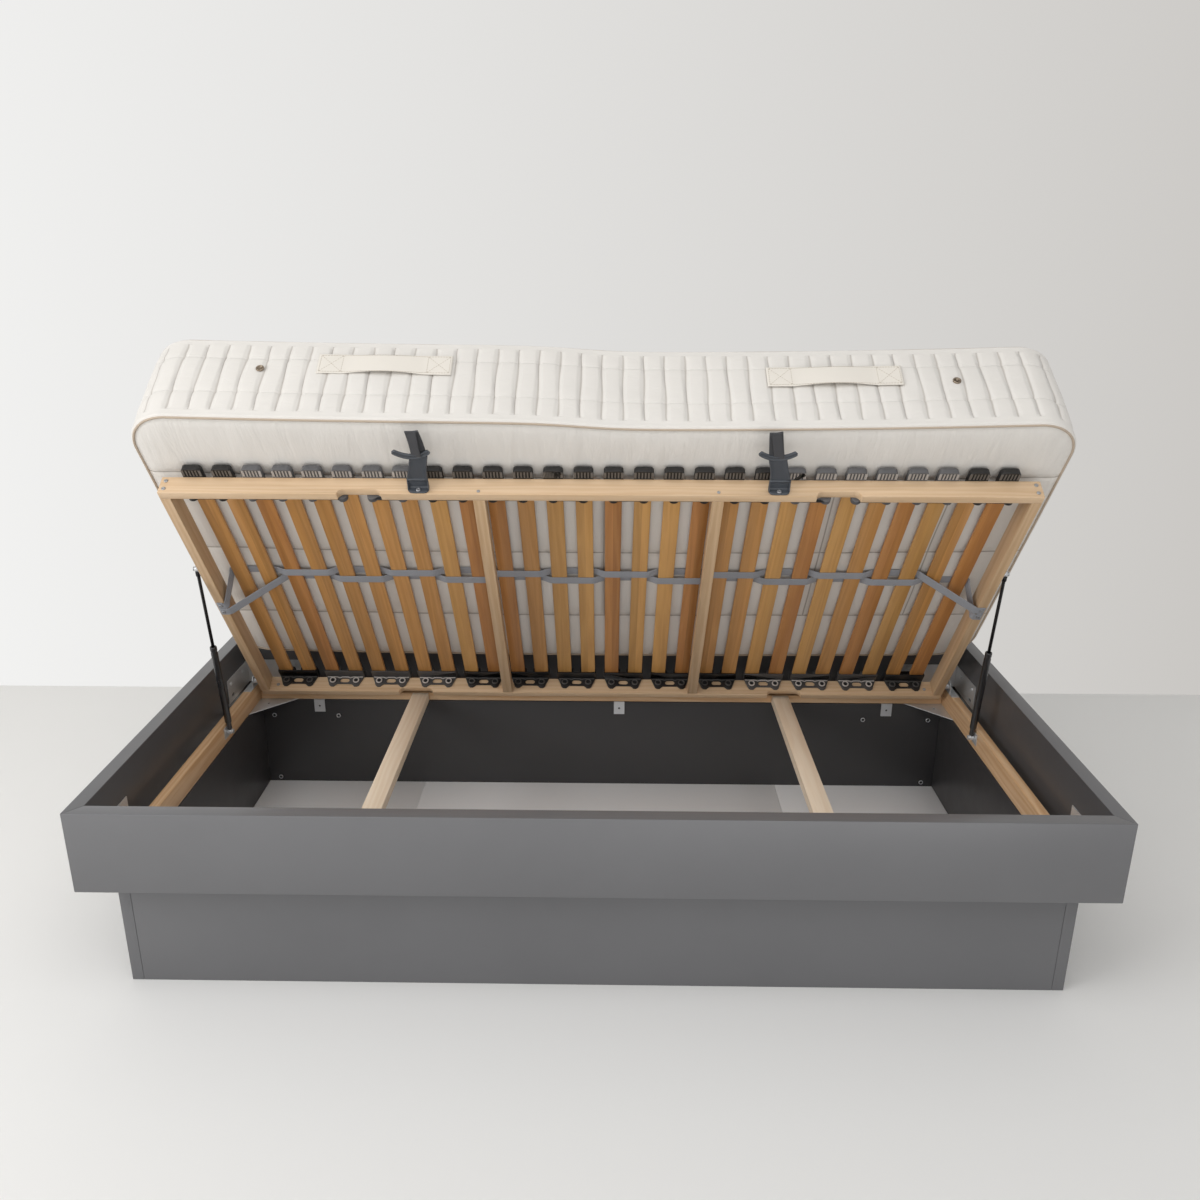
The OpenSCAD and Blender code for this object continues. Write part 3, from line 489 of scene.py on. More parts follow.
# Rubber caps: black or grey moulded sleeves, ribbed where they hold the slats,
# twins at the hinge side and noses at the opening side.
rubber_edge = 0.0007
cap_under = 0.0463              # underside of the caps above the base's underside
rib_deep = 0.0012               # what counts as the crest of a rib
rib_start, rib_end = -0.8550, -0.8730      # ends of the ribs, out from the hinge edge


def rib_crest_highlight(tree, place):
    """A mask of the rib crests under the noses, which take a lighter tone: a painted highlight.
    A height or a length of the base is the dot product of the place with the base's own direction."""
    up, out = base_direction(0, 0, 1), base_direction(0, 1, 0)
    levels = []
    for direction, zero in ((up, pivot_up), (out, -pivot_in)):
        dot = add(tree, "VectorMath", place, tuple(direction), operation="DOT_PRODUCT")
        levels.append(sums(tree, "ADD", dot.outputs["Value"], zero - float(np.dot(direction, pivot))))
    low = sums(tree, "LESS_THAN", levels[0], cap_under + rib_deep)
    past_rail = sums(tree, "LESS_THAN", levels[1], rib_start)
    before_tip = sums(tree, "GREATER_THAN", levels[1], rib_end)
    return sums(tree, "MULTIPLY", sums(tree, "MULTIPLY", low, past_rail), before_tip)


rubber_black = marked_material("black rubber", linear(27, 26, 26), 0.12, 0.42, 2e-5)
eased("twin_caps_dark", rubber_black, rubber_edge)
eased("twin_caps_grey", marked_material("dark grey rubber", linear(76, 74, 73), 0.12, 0.45, 2e-5), rubber_edge)
# The nose caps' rib crests are lighter than the slots between them: painted highlight.
eased("nose_caps_dark", marked_material("black ribbed rubber, painted crest highlight", linear(27, 26, 26), 0.12, 0.5, 2e-5,
                                        masked=(linear(92, 88, 84), rib_crest_highlight)), rubber_edge)
eased("nose_caps_grey", marked_material("grey ribbed rubber, painted crest highlight", linear(92, 92, 94), 0.12, 0.5, 2e-5,
                                        masked=(linear(160, 156, 152), rib_crest_highlight)), rubber_edge)


# The mattress: a 26 cm sprung mattress in cream ticking. Its border is stitched
# into upright channels between two plain strips that swell over the piped seams,
# and its faces are quilted in big squares. It lies on the slats, its long sides bowed.
half_long, half_wide = 1.007, 0.4475
corner = 0.100                  # plan radius of its corners
thick = 0.256                   # height of its border
crown = 0.0175                  # rise of the upper face
sag_in = 0.016                  # how far the middle of its long sides lies in
channels_long, channels_wide, channels_corner = 40, 16, 3
per_channel = 6                 # mesh columns across one channel
crowding = 0.13                 # how far those columns draw to the stitching
channel_deep, row_deep, dimple_deep = 0.0026, 0.0012, 0.0022
swell_r = 0.0065                # radius of the plain strip where it turns to the seam
swell_in, swell_up = 0.0080, 0.0090         # middle of that turn, in from the plan and up
crease_up = 0.0280              # where the channels begin
tack_rows = (0.082, 0.186)      # heights of the two rows of tacking on the border
belly_out = 0.003               # how far the middle of the border stands out
panel_inset, panel_up = 0.0095, 0.0105      # the seam between a face and the border
mattress_place = np.array([0.006, -0.558, 0.0665])
square_x, square_y = 0.258, 0.262           # quilted squares of the faces
square_from = (0.006, -0.018)               # where two lines of quilting cross
lines_x = square_from[0] + square_x * np.arange(-3, 4)
lines_y = square_from[1] + square_y * np.arange(-1, 2)
face_mark = -20.0               # added to a face's first UV value, to tell it from the border
long_steps = (channels_long + channels_corner) * per_channel
wide_steps = (channels_wide + channels_corner) * per_channel


def from_mattress(points):
    """Points of the mattress's own frame (middle of its underside) in the bed's frame.
    Its plan is bowed: y grows by sag_in (1 - (x / half_long) ^ 2). Its opening side lies
    unevenly: y also grows by 0.0095 tanh((x + 0.05) / 0.1) - 0.007 x ^ 2 right of the middle."""
    points = np.array(points, float)
    x = points[..., 0]
    front = np.clip(-points[..., 1] / half_wide, 0, 1) ** 2
    uneven = 0.0095 * np.tanh((x + 0.05) / 0.1) - 0.007 * np.maximum(x, 0) ** 2
    points[..., 1] += sag_in * (1 - (x / half_long) ** 2) + front * uneven
    return on_base(points + mattress_place)


def stretched_noise(tree, vector, stretch, **settings):
    """Noise drawn out along the seams map by the stretch each way."""
    place = add(tree, "Mapping", Vector=vector, Scale=stretch).outputs[0]
    return add(tree, "TexNoise", Vector=place, Scale=1.0, **settings).outputs["Fac"]


def quilted_ticking():
    """Ticking whose stitched lines follow the seams map: on the border u counts channels and
    v is the height, on a face u and v count quilted squares. Near a line the cloth dips, and a thin
    darker line runs along it: the thread, with painted shade in the groove."""
    made, tree, shader = blank("cream ticking", Sheen_Weight=0.15)
    seams = add(tree, "UVMap", uv_map="seams").outputs[0]
    u, v, _ = add(tree, "SeparateXYZ", seams).outputs

    def calc(operation, *terms):
        return sums(tree, operation, *terms)

    def smooth(value, end, first, last):
        return ramp(tree, value, 0.0, end, first, last, "SMOOTHSTEP")

    on_face = calc("LESS_THAN", u, face_mark / 2)
    on_border = calc("SUBTRACT", 1.0, on_face)
    channel_wide = 2 * (half_long - corner) / channels_long
    step = calc("MULTIPLY_ADD", on_face, square_x - channel_wide, channel_wide)
    off_middle = calc("ABSOLUTE", calc("SUBTRACT", v, thick / 2))
    over_border = calc("MULTIPLY", calc("GREATER_THAN", off_middle, thick / 2 - crease_up), on_border)
    over_face = calc("MULTIPLY", calc("GREATER_THAN", calc("ABSOLUTE", v), 1.0), on_face)
    past_end = calc("ADD", over_border, over_face)
    to_seam = calc("MULTIPLY_ADD", calc("PINGPONG", u, 0.5), step, past_end)
    to_row = calc("MULTIPLY", calc("PINGPONG", v, 0.5), square_y)
    near = calc("MINIMUM", to_seam, calc("MULTIPLY_ADD", to_row, on_face, on_border))
    # A thin darker line along each seam: the thread, with painted shade in the groove.
    stitched = calc("MULTIPLY", smooth(near, 0.0030, 1.0, 0.0), calc("MULTIPLY_ADD", on_face, 0.25, 0.45))
    to_tack = calc("MINIMUM", *(calc("ABSOLUTE", calc("SUBTRACT", v, row)) for row in tack_rows))
    tacked = calc("MULTIPLY", smooth(to_tack, 0.005, 0.6, 0.0), on_border)
    # Wrinkles run away from the edges of the faces and along the border
    folds = stretched_noise(tree, seams, (7.0, 1.1, 1.0), Detail=4.0, Roughness=0.55, Distortion=0.4)
    puckers = stretched_noise(tree, seams, (0.55, 34.0, 1.0), Detail=3.0, Roughness=0.5, Distortion=0.6)
    wrinkle = calc("MULTIPLY_ADD", folds, calc("MULTIPLY", on_face, 2.6), calc("MULTIPLY", puckers, on_border))
    height = calc("SUBTRACT", calc("ADD", smooth(near, 0.011, 0.0, 1.0), wrinkle), tacked)
    marks = use_group(tree, rubbed, Vector=object_place(tree), Colour=linear(223, 219, 213),
                      Cloud=0.03, Gloss=0.85)
    # The dark seam colour: thread, with painted groove shade.
    colour = mixed(tree, stitched, marks["Colour"], linear(128, 116, 104))
    weave = dress(tree, shader, colour, marks["Roughness"], marks["Height"], 1.5e-5)
    quilt = add(tree, "Bump", Height=height, Distance=0.0016, Strength=1.0)
    fill(tree, weave.inputs["Normal"], quilt.outputs[0])
    return made


def border_plan():
    """The plan outline as rows of x, y, outward x, outward y, channel count: straight sides
    joined by quarter circles, columns crowding to each seam as t - crowding sin(2 pi t)."""
    step = np.arange(per_channel) / per_channel
    step = step - crowding * np.sin(2 * np.pi * step)

    def share(count):
        return (np.arange(count)[:, None] + step).ravel() / count

    along = (half_long - corner) * (2 * share(channels_long) - 1)
    across = (half_wide - corner) * (2 * share(channels_wide) - 1)
    parts = []
    for quarter in range(4):
        start = (quarter - 1) * math.pi / 2
        out = np.rint([math.cos(start), math.sin(start)])
        ahead = np.array([-out[1], out[0]])
        line, edge = ((along, half_wide), (across, half_long))[quarter % 2]
        parts.append(np.hstack([line[:, None] * ahead + edge * out, np.tile(out, (len(line), 1))]))
        angle = share(channels_corner) * math.pi / 2 + start
        turned = np.stack([np.cos(angle), np.sin(angle)], 1)
        centre = (out + ahead) * (half_long - corner, half_wide - corner)
        parts.append(np.hstack([centre + corner * turned, turned]))
    ring = np.vstack(parts)
    count = np.arange(len(ring)) // per_channel + np.tile(step, len(ring) // per_channel)
    return np.column_stack([ring, count])


def waves(x, y, seed, reach):
    """A smooth unevenness between about -1 and 1: a sum of seven crossing sine waves."""
    total = np.zeros(np.broadcast(x, y).shape)
    for turn in range(7):
        angle = seed + turn * 2.399
        rate = 2 * math.pi / reach * (0.7 + 0.23 * turn)
        total += np.sin(rate * (x * math.cos(angle) + y * math.sin(angle)) + seed * 5 + turn) / (1 + 0.5 * turn)
    return total / 2.2


def quilting(x, y):
    """How far the stitched lines pull a face in: exp(-distance / width) of the nearest
    line each way, joined as 1 - (1 - a)(1 - b). The upright lines stop at the outer rows."""
    def pull(values, lines):
        near = np.min(np.abs(values[..., None] - lines), -1)
        return 0.72 * np.exp(-near / 0.026) + 0.28 * np.exp(-near / 0.006)

    between = np.clip((lines_y[-1] - y) / 0.02, 0, 1) * np.clip((y - lines_y[0]) / 0.02, 0, 1)
    return 1 - (1 - pull(x, lines_x) * between) * (1 - pull(y, lines_y))


def edge_distance(x, y):
    """Distance in from the rounded plan outline."""
    over_x = np.abs(x) - (half_long - corner)
    over_y = np.abs(y) - (half_wide - corner)
    outside = np.hypot(np.maximum(over_x, 0), np.maximum(over_y, 0))
    return corner - outside - np.minimum(np.maximum(over_x, over_y), 0)


def four_sides(ring):
    """The front, right, back and left sides of a ring of points or numbers, from corner to
    corner, each running left to right or front to back."""
    closed = np.concatenate([ring, ring[:1]])
    ends = np.cumsum([0, long_steps, wide_steps, long_steps, wide_steps])
    front, right_side, back, left_side = (closed[start:end + 1] for start, end in zip(ends, ends[1:]))
    return front, right_side, back[::-1], left_side[::-1]


def face_grid(ring):
    """A face's x and y: the four sides of its outline blended across, as a Coons patch."""
    front, right_side, back, left_side = four_sides(ring)
    u = ((front[:, 0] - front[0, 0]) / (front[-1, 0] - front[0, 0]))[:, None, None]
    v = ((right_side[:, 1] - right_side[0, 1]) / (right_side[-1, 1] - right_side[0, 1]))[None, :, None]
    return ((1 - v) * front[:, None] + v * back[:, None] + (1 - u) * left_side[None] + u * right_side[None]
            - (1 - u) * (1 - v) * front[0] - u * (1 - v) * front[-1]
            - (1 - u) * v * back[0] - u * v * back[-1])


def drawn_to(values, lines):
    """Values moved smoothly so that the nearest one to each line lies on it."""
    row = np.unique(values)
    found = np.array([row[np.argmin(np.abs(row - line))] for line in lines])
    return values + np.interp(values, np.r_[-1, found, 1], np.r_[0, lines - found, 0])


def mattress_mesh(material):
    """One closed skin: border rows between two quilted faces that share its first and last."""
    shift = channels_corner * per_channel // 2
    plan = np.roll(border_plan(), shift, 0)
    x, y, out_x, out_y, channel = plan.T
    count = len(plan)
    total = count // per_channel
    channel = np.where(np.arange(count) < shift, channel - total, channel)
    # Profile: the seam, a quarter circle, the plain strip, then the belly of the border
    bend = np.linspace(0, math.pi / 2, 7)
    edge_in = np.r_[panel_inset, swell_in - swell_r * np.sin(bend)]
    edge_up = np.r_[panel_up, swell_up + swell_r * (1 - np.cos(bend))]
    low_rows = np.linspace(swell_up + swell_r, crease_up + 0.008, 8)[1:]
    rows_up = np.r_[low_rows, np.linspace(low_rows[-1], thick - low_rows[-1], 25)[1:-1], thick - low_rows[::-1]]
    belly = np.abs(2 * rows_up / thick - 1)
    side_in = edge_in[-1] + 0.003 * belly ** 6 - belly_out * (1 - belly ** 2)
    inset = np.concatenate([edge_in, side_in, edge_in[::-1]])[:, None]
    up = np.concatenate([edge_up, rows_up, thick - edge_up[::-1]])[:, None]
    # Channels, two faint rows of tacking with dimples, uneven filling
    on_side = np.clip(np.minimum(up - crease_up, thick - crease_up - up) / 0.009, 0, 1)
    number = np.floor(channel + 1e-6)
    across = np.abs(2 * (channel - number) - 1)[None]
    plump = (1 + 0.28 * np.sin(number * 12.9898) * np.sin(number * 4.1))[None]
    seam = 0.72 * np.exp(-(1 - across) / 0.10) + 0.28 * across ** 3
    rows = sum(np.exp(-((up - height) / 0.006) ** 2) for height in tack_rows)
    dimple = rows * np.exp(-((1 - across) / 0.16) ** 2)
    perimeter = np.arange(count)[None] / count * 5.6
    lumps = waves(perimeter, up, 1.7, 0.21) * 0.0016 + waves(perimeter, up, 4.4, 0.07) * 0.0006
    deep = on_side * (channel_deep * plump * seam + row_deep * rows + dimple_deep * dimple)
    depth = inset + deep + lumps * np.clip(np.minimum(up, thick - up) / 0.03, 0, 1)
    wobble = on_side * 0.0012 * np.sin(up * 38 + number * 2.1)
    body = np.stack([x - out_x * depth - out_y * wobble, y - out_y * depth + out_x * wobble,
                     np.broadcast_to(up, depth.shape)], -1)
    border = numbers(*body.shape[:2])
    # The two faces
    flat = face_grid(body[0, :, :2])
    keep = np.clip((edge_distance(flat[..., 0], flat[..., 1]) - panel_inset) / 0.03, 0, 1)
    fx, fy = (flat[..., axis] + (drawn_to(flat[..., axis], lines) - flat[..., axis]) * keep
              for axis, lines in ((0, lines_x), (1, lines_y)))
    from_seam = np.maximum(edge_distance(fx, fy) - panel_inset, 0)
    filled = 1 - np.exp(-(from_seam / 0.03) ** 2)
    tucked = panel_up * np.exp(-from_seam / 0.022)
    pull = quilting(fx, fy)
    wander = 0.0022 * filled * waves(fx, fy, 2.2, 0.34)
    low = tucked + filled * (0.0075 * pull + 0.0010 * (1 + waves(fx, fy, 3.1, 0.16)))
    mound = 1 - np.clip(np.maximum(np.abs(fx) / half_long, np.abs(fy) / half_wide), 0, 1) ** 2.4
    high = thick - tucked + crown * mound - filled * (0.008 * pull + 0.0012 * (1 + waves(fx, fy, 5.3, 0.18)))
    seam_uv = np.stack([face_mark + (fx - square_from[0]) / square_x, (fy - square_from[1]) / square_y], -1)
    border_uv = np.stack(np.broadcast_arrays(np.append(channel, channel[0] + total)[None], up), -1)
    points, index, uvs = [body.reshape(-1, 3)], [], []
    start = border.size
    for row, height, order in ((0, low, -1), (-1, high, 1)):
        inner = np.stack([fx + wander, fy + wander * 0.7, height], -1)[1:-1, 1:-1]
        grid = np.empty(fx.shape, int)
        grid[:, 0], grid[-1], grid[:, -1], grid[0] = four_sides(border[row])
        grid[1:-1, 1:-1] = start + numbers(*inner.shape[:2])
        start += inner[..., 0].size
        points.append(inner.reshape(-1, 3))
        index.append(quads_of(grid)[:, ::order])
        uvs.append(quads_of(seam_uv)[:, ::order])
    index.append(quads_of(border, wrap_v=True)[:, ::-1])
    uvs.append(quads_of(border_uv)[:, ::-1])
    made = mesh_object("mattress_skin", from_mattress(np.vstack(points)), np.vstack(index).tolist(), material)
    made.data.uv_layers.new(name="seams").data.foreach_set("uv", np.vstack(uvs).ravel())
    return made


mattress_skin = mattress_mesh(quilted_ticking())
stands_for(mattress_skin, "mattress", "ticking_cream", "mattress")


# Piping: a thin cord in a strip of beige cloth, sewn all the way round both of
# the mattress's seams, where its faces meet the border.
piping_in, piping_up, piping_r = 0.0082, 0.0090, 0.0026
piping_sides = 10
piping_cloth = marked_material("beige piping cloth", linear(184, 168, 150), 0.03, 0.85, 2e-5, sheen=0.1)


def piping_points(height):
    """Rows of points of a closed tube: a circle carried round the plan outline."""
    x, y, out_x, out_y, _ = border_plan().T[:, :, None]
    turn = np.arange(piping_sides) * 2 * math.pi / piping_sides
    inset = piping_in - piping_r * np.cos(turn)
    tube = (x - out_x * inset, y - out_y * inset, height + piping_r * np.sin(turn))
    return from_mattress(np.stack(np.broadcast_arrays(*tube), -1))


for number, height in enumerate((piping_up, thick - piping_up)):
    piping = sheet_mesh("piping_%d" % number, piping_points(height), piping_cloth, wrap_u=True, wrap_v=True)
    piping.data.flip_normals()
    stands_for(piping, "mattress", "piping_cream", "mattress_piping")


# Carrying handles: two bands of the same cloth sewn to the border at both ends,
# each end fixed with a stitched box and cross, the middle left free and arched.
def unit(vectors):
    """Vectors brought to a length of 1."""
    return vectors / np.linalg.norm(vectors, axis=-1, keepdims=True)


def around(sides):
    """Angles of that many even steps round a circle."""
    return np.linspace(0, 2 * math.pi, sides, endpoint=False)


circle = np.stack([np.cos(around(20)), np.sin(around(20))], 1)
band_turn = around(16)
flat_band = np.stack([np.sign(np.cos(band_turn)) * np.abs(np.cos(band_turn)) ** 0.35,
                      np.sign(np.sin(band_turn)) * np.abs(np.sin(band_turn)) ** 0.6], 1)


def swept(name, path, across, half_wide, half_thick, material, outline=flat_band, bent=None):
    """A closed bar: the outline, given as shares of half_wide along `across` and of
    half_thick along the normal (path direction x across), is carried along the path.
    By default it is a flat band with rounded edges. bent moves the points afterwards."""
    outline, path = np.asarray(outline, float), np.asarray(path, float)
    onward = unit(np.gradient(path, axis=0))
    across = unit(across - onward * np.sum(across * onward, 1)[:, None])
    normal = np.cross(onward, across)
    wide, deep = (np.broadcast_to(half, len(path))[:, None, None] for half in (half_wide, half_thick))
    points = path[:, None] + across[:, None] * outline[:, :1] * wide + normal[:, None] * outline[:, 1:] * deep
    grid = numbers(len(path), len(outline))
    faces = quads_of(grid, wrap_v=True)[:, [0, 3, 2, 1]].tolist() + [grid[0][::-1].tolist(), grid[-1].tolist()]
    area = outline[:, 0] * np.roll(outline[:, 1], -1) - outline[:, 1] * np.roll(outline[:, 0], -1)
    if area.sum() < 0:
        faces = [face[::-1] for face in faces]
    return mesh_object(name, bent(points) if bent else points, faces, material, flat_last=2)


def frames(first, second, third, places):
    """For each place a matrix whose columns are three directions and the place."""
    return np.stack([np.broadcast_to(column, np.shape(places)) for column in (first, second, third, places)], -1)


def many(name, shape, places, material):
    """One mesh of copies of a small shape, its points and faces, with a matrix for each."""
    corners, faces = shape
    points = np.einsum("nij,kj->nki", places[..., :3], corners) + places[:, None, :, 3]
    index = faces[None] + (np.arange(len(places)) * len(corners))[:, None, None]
    return mesh_object(name, points, index.reshape(-1, faces.shape[1]).tolist(), material)


handle_middles = ((-0.468, 0.169), (0.500, 0.156))
handle_half_long, handle_half_wide, handle_half_thick = 0.145, 0.030, 0.0009
handle_arch, handle_droop = 0.0075, 0.004
handle_gather = 0.005           # how much narrower the band's middle is, each side
handle_off = 0.0011             # the band's middle layer off the border
sewn_end = 0.058                # length of band held down at each end
stitch_in = 0.005               # stitching in from the edges of the band
stitch_long, stitch_r, stitch_step = 0.0022, 0.00045, 0.0058
handle_cloth = marked_material("cream handle cloth", linear(226, 220, 210), 0.03, 0.8, 3e-5, sheen=0.2)
thread = marked_material("beige thread", linear(176, 164, 146), 0.02, 0.7, 1e-5)


def handle_face(middle, share, height, lift):
    """Mattress-frame points of a handle: share runs -1 to 1 along it, height up the border;
    the free middle stands off as arch (1 - (share / free) ^ 2) ^ 1.5 and droops a little."""
    free = 1 - sewn_end / handle_half_long
    rise = np.clip(1 - (share / free) ** 2, 0, 1) ** 1.5
    y = -half_wide - belly_out - handle_off - handle_arch * rise - lift
    return np.stack([share * handle_half_long + middle, y, height - handle_droop * rise], 1)


def stitch_lines(half_x, half_z):
    """Start and end points of the seams of a handle: a box with a cross at each end, and
    one line along each edge of the free middle."""
    x0, x1 = half_x - stitch_in, half_x - sewn_end + stitch_in
    z1 = half_z - stitch_in
    seams = []
    for s in (-1, 1):
        seams += [((s * x0, -z1), (s * x0, z1)), ((s * x1, -z1), (s * x1, z1)),
                  ((s * x0, -z1), (s * x1, -z1)), ((s * x0, z1), (s * x1, z1)),
                  ((s * x0, -z1), (s * x1, z1)), ((s * x0, z1), (s * x1, -z1))]
    return seams + [((-x1, s * z1), (x1, s * z1)) for s in (-1, 1)]


def stitch_shape():
    """A short thread: a six-sided spindle of unit half length along x, flat at its ends."""
    turn = np.arange(6) * math.pi / 3
    spindle = [(-1, 0.35), (-0.6, 1.0), (0.6, 1.0), (1, 0.35)]
    points = [(x, r * math.cos(a), r * math.sin(a)) for x, r in spindle for a in turn]
    return np.array(points), quads_of(numbers(4, 6), wrap_v=True)[:, ::-1]


border_out, base_up = base_direction(0, -1, 0), base_direction(0, 0, 1)
for side, (middle, height) in zip(("left", "right"), handle_middles):
    share = np.linspace(-1, 1, 73)
    gathered = handle_half_wide - handle_gather * np.clip(1 - (share / 0.6) ** 2, 0, 1)
    band = swept("handle_" + side, handle_face(middle, share, height, 0.0), (0, 0, 1), gathered,
                 handle_half_thick, handle_cloth, bent=from_mattress)
    stands_for(band, "mattress", "handle_cream", "mattress_handles")
    matrices = []
    for start, end in stitch_lines(handle_half_long, handle_half_wide):
        run = np.subtract(end, start)
        length = math.hypot(*run)
        count = int(length // stitch_step)
        at = (np.arange(count) + 0.5) / count
        sx, sz = np.array(start)[:, None] + run[:, None] * at
        face = handle_face(middle, sx / handle_half_long, height + sz, handle_half_thick)
        centre = from_mattress(face)
        along = unit(from_mattress(face + np.array([run[0], 0, run[1]]) / length * 1e-3) - centre)
        aside = unit(np.cross(along, border_out))
        matrices.append(frames(along * stitch_long, aside * stitch_r, np.cross(along, aside) * stitch_r, centre))
    sewing = many("handle_stitches_" + side, stitch_shape(), np.vstack(matrices), thread)
    stands_for(sewing, "mattress", "handle_cream")


# Air vents: pressed metal eyelets in the border, each a rolled rim round a bowl
# that is crossed by two thin bars.
vent_middles = ((-0.735, 0.152), (0.757, 0.137))
vent_in = 0.0004                # a vent's zero lies this far in, its bars as far out from there
vent_bar_half = 0.0052
vent_tilt = 0.6                 # turn of the first bar, radians
vent_profile = [(0, -0.001), (0.0045, -0.0008), (0.0056, 0.0004), (0.0062, 0.0018), (0.0075, 0.0023),
                (0.0087, 0.0016), (0.009, 0.0004), (0.0086, -0.0022), (0.004, -0.0026), (0, -0.0026)]
vent_metal = marked_material("tarnished vent metal", linear(150, 136, 120), 0.3, 0.35, 4e-6, metallic=0.9)


def lathed(name, profile, sides, material, place, axis, up):
    """A closed turned piece: (radius, height) points carried round an axis through place;
    a radius of zero closes an end."""
    profile = np.asarray(profile, float)
    axis = unit(np.asarray(axis, float))
    first = unit(np.cross(up, axis))
    turn = around(sides)[:, None]
    ring = np.cos(turn) * first + np.sin(turn) * np.cross(axis, first)
    points = place + profile[:, None, 1:] * axis + profile[:, None, :1] * ring
    made = sheet_mesh(name, points, material, wrap_v=True)
    work = bmesh.new()
    work.from_mesh(made.data)
    bmesh.ops.remove_doubles(work, verts=work.verts, dist=1e-6)
    bmesh.ops.recalc_face_normals(work, faces=work.faces)
    work.to_mesh(made.data)
    work.free()
    return made


for side, (x, z) in zip(("left", "right"), vent_middles):
    centre = from_mattress(np.array([x, -half_wide - belly_out + vent_in, z]))
    vent = lathed("vent_" + side, vent_profile, 32, vent_metal, centre, border_out, base_up)
    stands_for(vent, "mattress", "vent_metal", "mattress_vents")
    for number, tilt in enumerate((vent_tilt, vent_tilt + math.pi / 2)):
        reach = np.array([math.cos(tilt), 0, 0]) + base_up * math.sin(tilt)
        line = centre + border_out * vent_in + np.linspace(-vent_bar_half, vent_bar_half, 5)[:, None] * reach
        bar = swept("vent_bar_%s_%d" % (side, number), line, border_out, 0.0005, 0.0006, vent_metal)
        stands_for(bar, "mattress", "vent_metal")


# Belts: two woven straps laced over and under pairs of slats, side by side, and
# drawn to one screw each on the end rails. They hold the slats at their spacing.
belt_half, belt_half_thick = 0.0125, 0.0008
belt_gap = 0.0004               # half the gap between the two belts
belt_line, belt_pull = 0.486, 0.065         # in from the hinge edge, and how far the ends draw back
belt_low, belt_high = 0.0546, 0.0651        # heights under and over the slats
belt_reach = 0.021              # how far a belt runs past the middle of a pair's outer slat
belt_screw, belt_turn = 0.9385, 0.9245
belt_tail = 0.008               # strap past the screw
belt_under = 0.0003             # gap to the rail's underside


def belt_weave():
    """Woven strap: fine ribs across it and yarns along it, as bump and as tone."""
    made, tree, shader = blank("grey woven belt", Sheen_Weight=0.15)
    level = add(tree, "Mapping", Vector=object_place(tree), Rotation=(open_angle, 0, 0)).outputs[0]
    ribs = add(tree, "TexWave", Vector=level, Scale=160.0, Distortion=0.6, bands_direction="X")
    yarn = add(tree, "TexWave", Vector=level, Scale=260.0, Distortion=0.4, bands_direction="Y")
    both = sums(tree, "MULTIPLY", ribs.outputs["Fac"], yarn.outputs["Fac"])
    marks = use_group(tree, rubbed, Vector=level, Colour=linear(150, 152, 158), Cloud=0.06, Gloss=0.75)
    tone = scaled(tree, marks["Colour"], ramp(tree, both, 0.0, 1.0, 0.9, 1.06))
    dress(tree, shader, tone, marks["Roughness"], both, 0.00015, 0.8)
    return made


def lengths(points):
    """How far along its run each point of a line lies."""
    return np.r_[0, np.cumsum(np.linalg.norm(np.diff(points, axis=0), axis=1))]


def softened(corners, step, reach):
    """Points each step along straight runs between corners, averaged over reach on both
    sides so that every corner becomes a bend."""
    corners = np.asarray(corners, float)
    run = lengths(corners)
    at = np.linspace(0, run[-1], int(run[-1] / step) + 1)
    near = np.clip(at[:, None] + np.linspace(-reach, reach, 9), 0, run[-1])
    edge = np.minimum(at, run[-1] - at)[:, None] / reach
    near = at[:, None] + (near - at[:, None]) * np.clip(edge, 0, 1)
    return np.stack([np.interp(near, run, corners[:, axis]).mean(1) for axis in range(3)], 1)


def belt_corners(side):
    """Base-frame corners of one belt: screw, a turn under the rail's edge, then low under
    one pair of slats and high over the next, to the other screw."""
    y = -belt_line - side * (belt_half + belt_gap)
    end_y, down = y + belt_pull, -belt_half_thick - belt_under
    last = slat_count // 2 - 1
    runs = []
    for pair in range(1 if side < 0 else 0, last + (side < 0)):
        z = belt_low if (pair % 2 == 0) == (side < 0) else belt_high
        start = slat_first + 2 * pair * slat_pitch - belt_reach
        runs += [(start, y, z), (start + slat_pitch + 2 * belt_reach, y, z)]
    return ([(-belt_screw - belt_tail, end_y, down), (-belt_turn, end_y, down)] + runs
            + [(belt_turn, end_y, down), (belt_screw + belt_tail, end_y, down)])


woven_grey = belt_weave()
for name, side in (("belt_a", -1), ("belt_b", 1)):
    route = softened(belt_corners(side), 0.004, 0.006)
    strap = swept(name + "_strap", on_base(route), base_direction(0, 1, 0),
                  belt_half, belt_half_thick, woven_grey)
    stands_for(strap, "lifting_base", "belt_grey", name)


# Mattress retainers: moulded plastic in one bend from a screwed foot on the front
# rail to a neck with a crescent of two ears, and a loop of webbing to pull by.
# The foot stays on the rail, and the neck turns on the pin in the bend.
retainer_x, base_depth = 0.386, 0.853
tongue_out, tongue_up = 0.0265, 0.019
foot_half, foot_front = 0.023, 0.0023
knuckle_r = 0.0036
ear_reach, ear_step, ear_curl = 0.0725, 0.00975, 0.001
loop_end = 0.143
plastic = marked_material("dark moulded plastic", linear(70, 74, 80), 0.1, 0.42, 1.2e-5, coat=0.1)
webbing = marked_material("dark webbing", linear(62, 62, 65), 0.06, 0.78, 8e-5, sheen=0.15)
rimmed = [(-1, -0.5), (-0.97, -1), (-0.84, -1), (-0.78, -0.45), (-0.4, -0.38), (0, -0.36), (0.4, -0.38),
          (0.78, -0.45), (0.84, -1), (0.97, -1), (1, -0.5), (1, 0.6), (0.95, 1), (0, 1), (-0.95, 1), (-1, 0.6)]
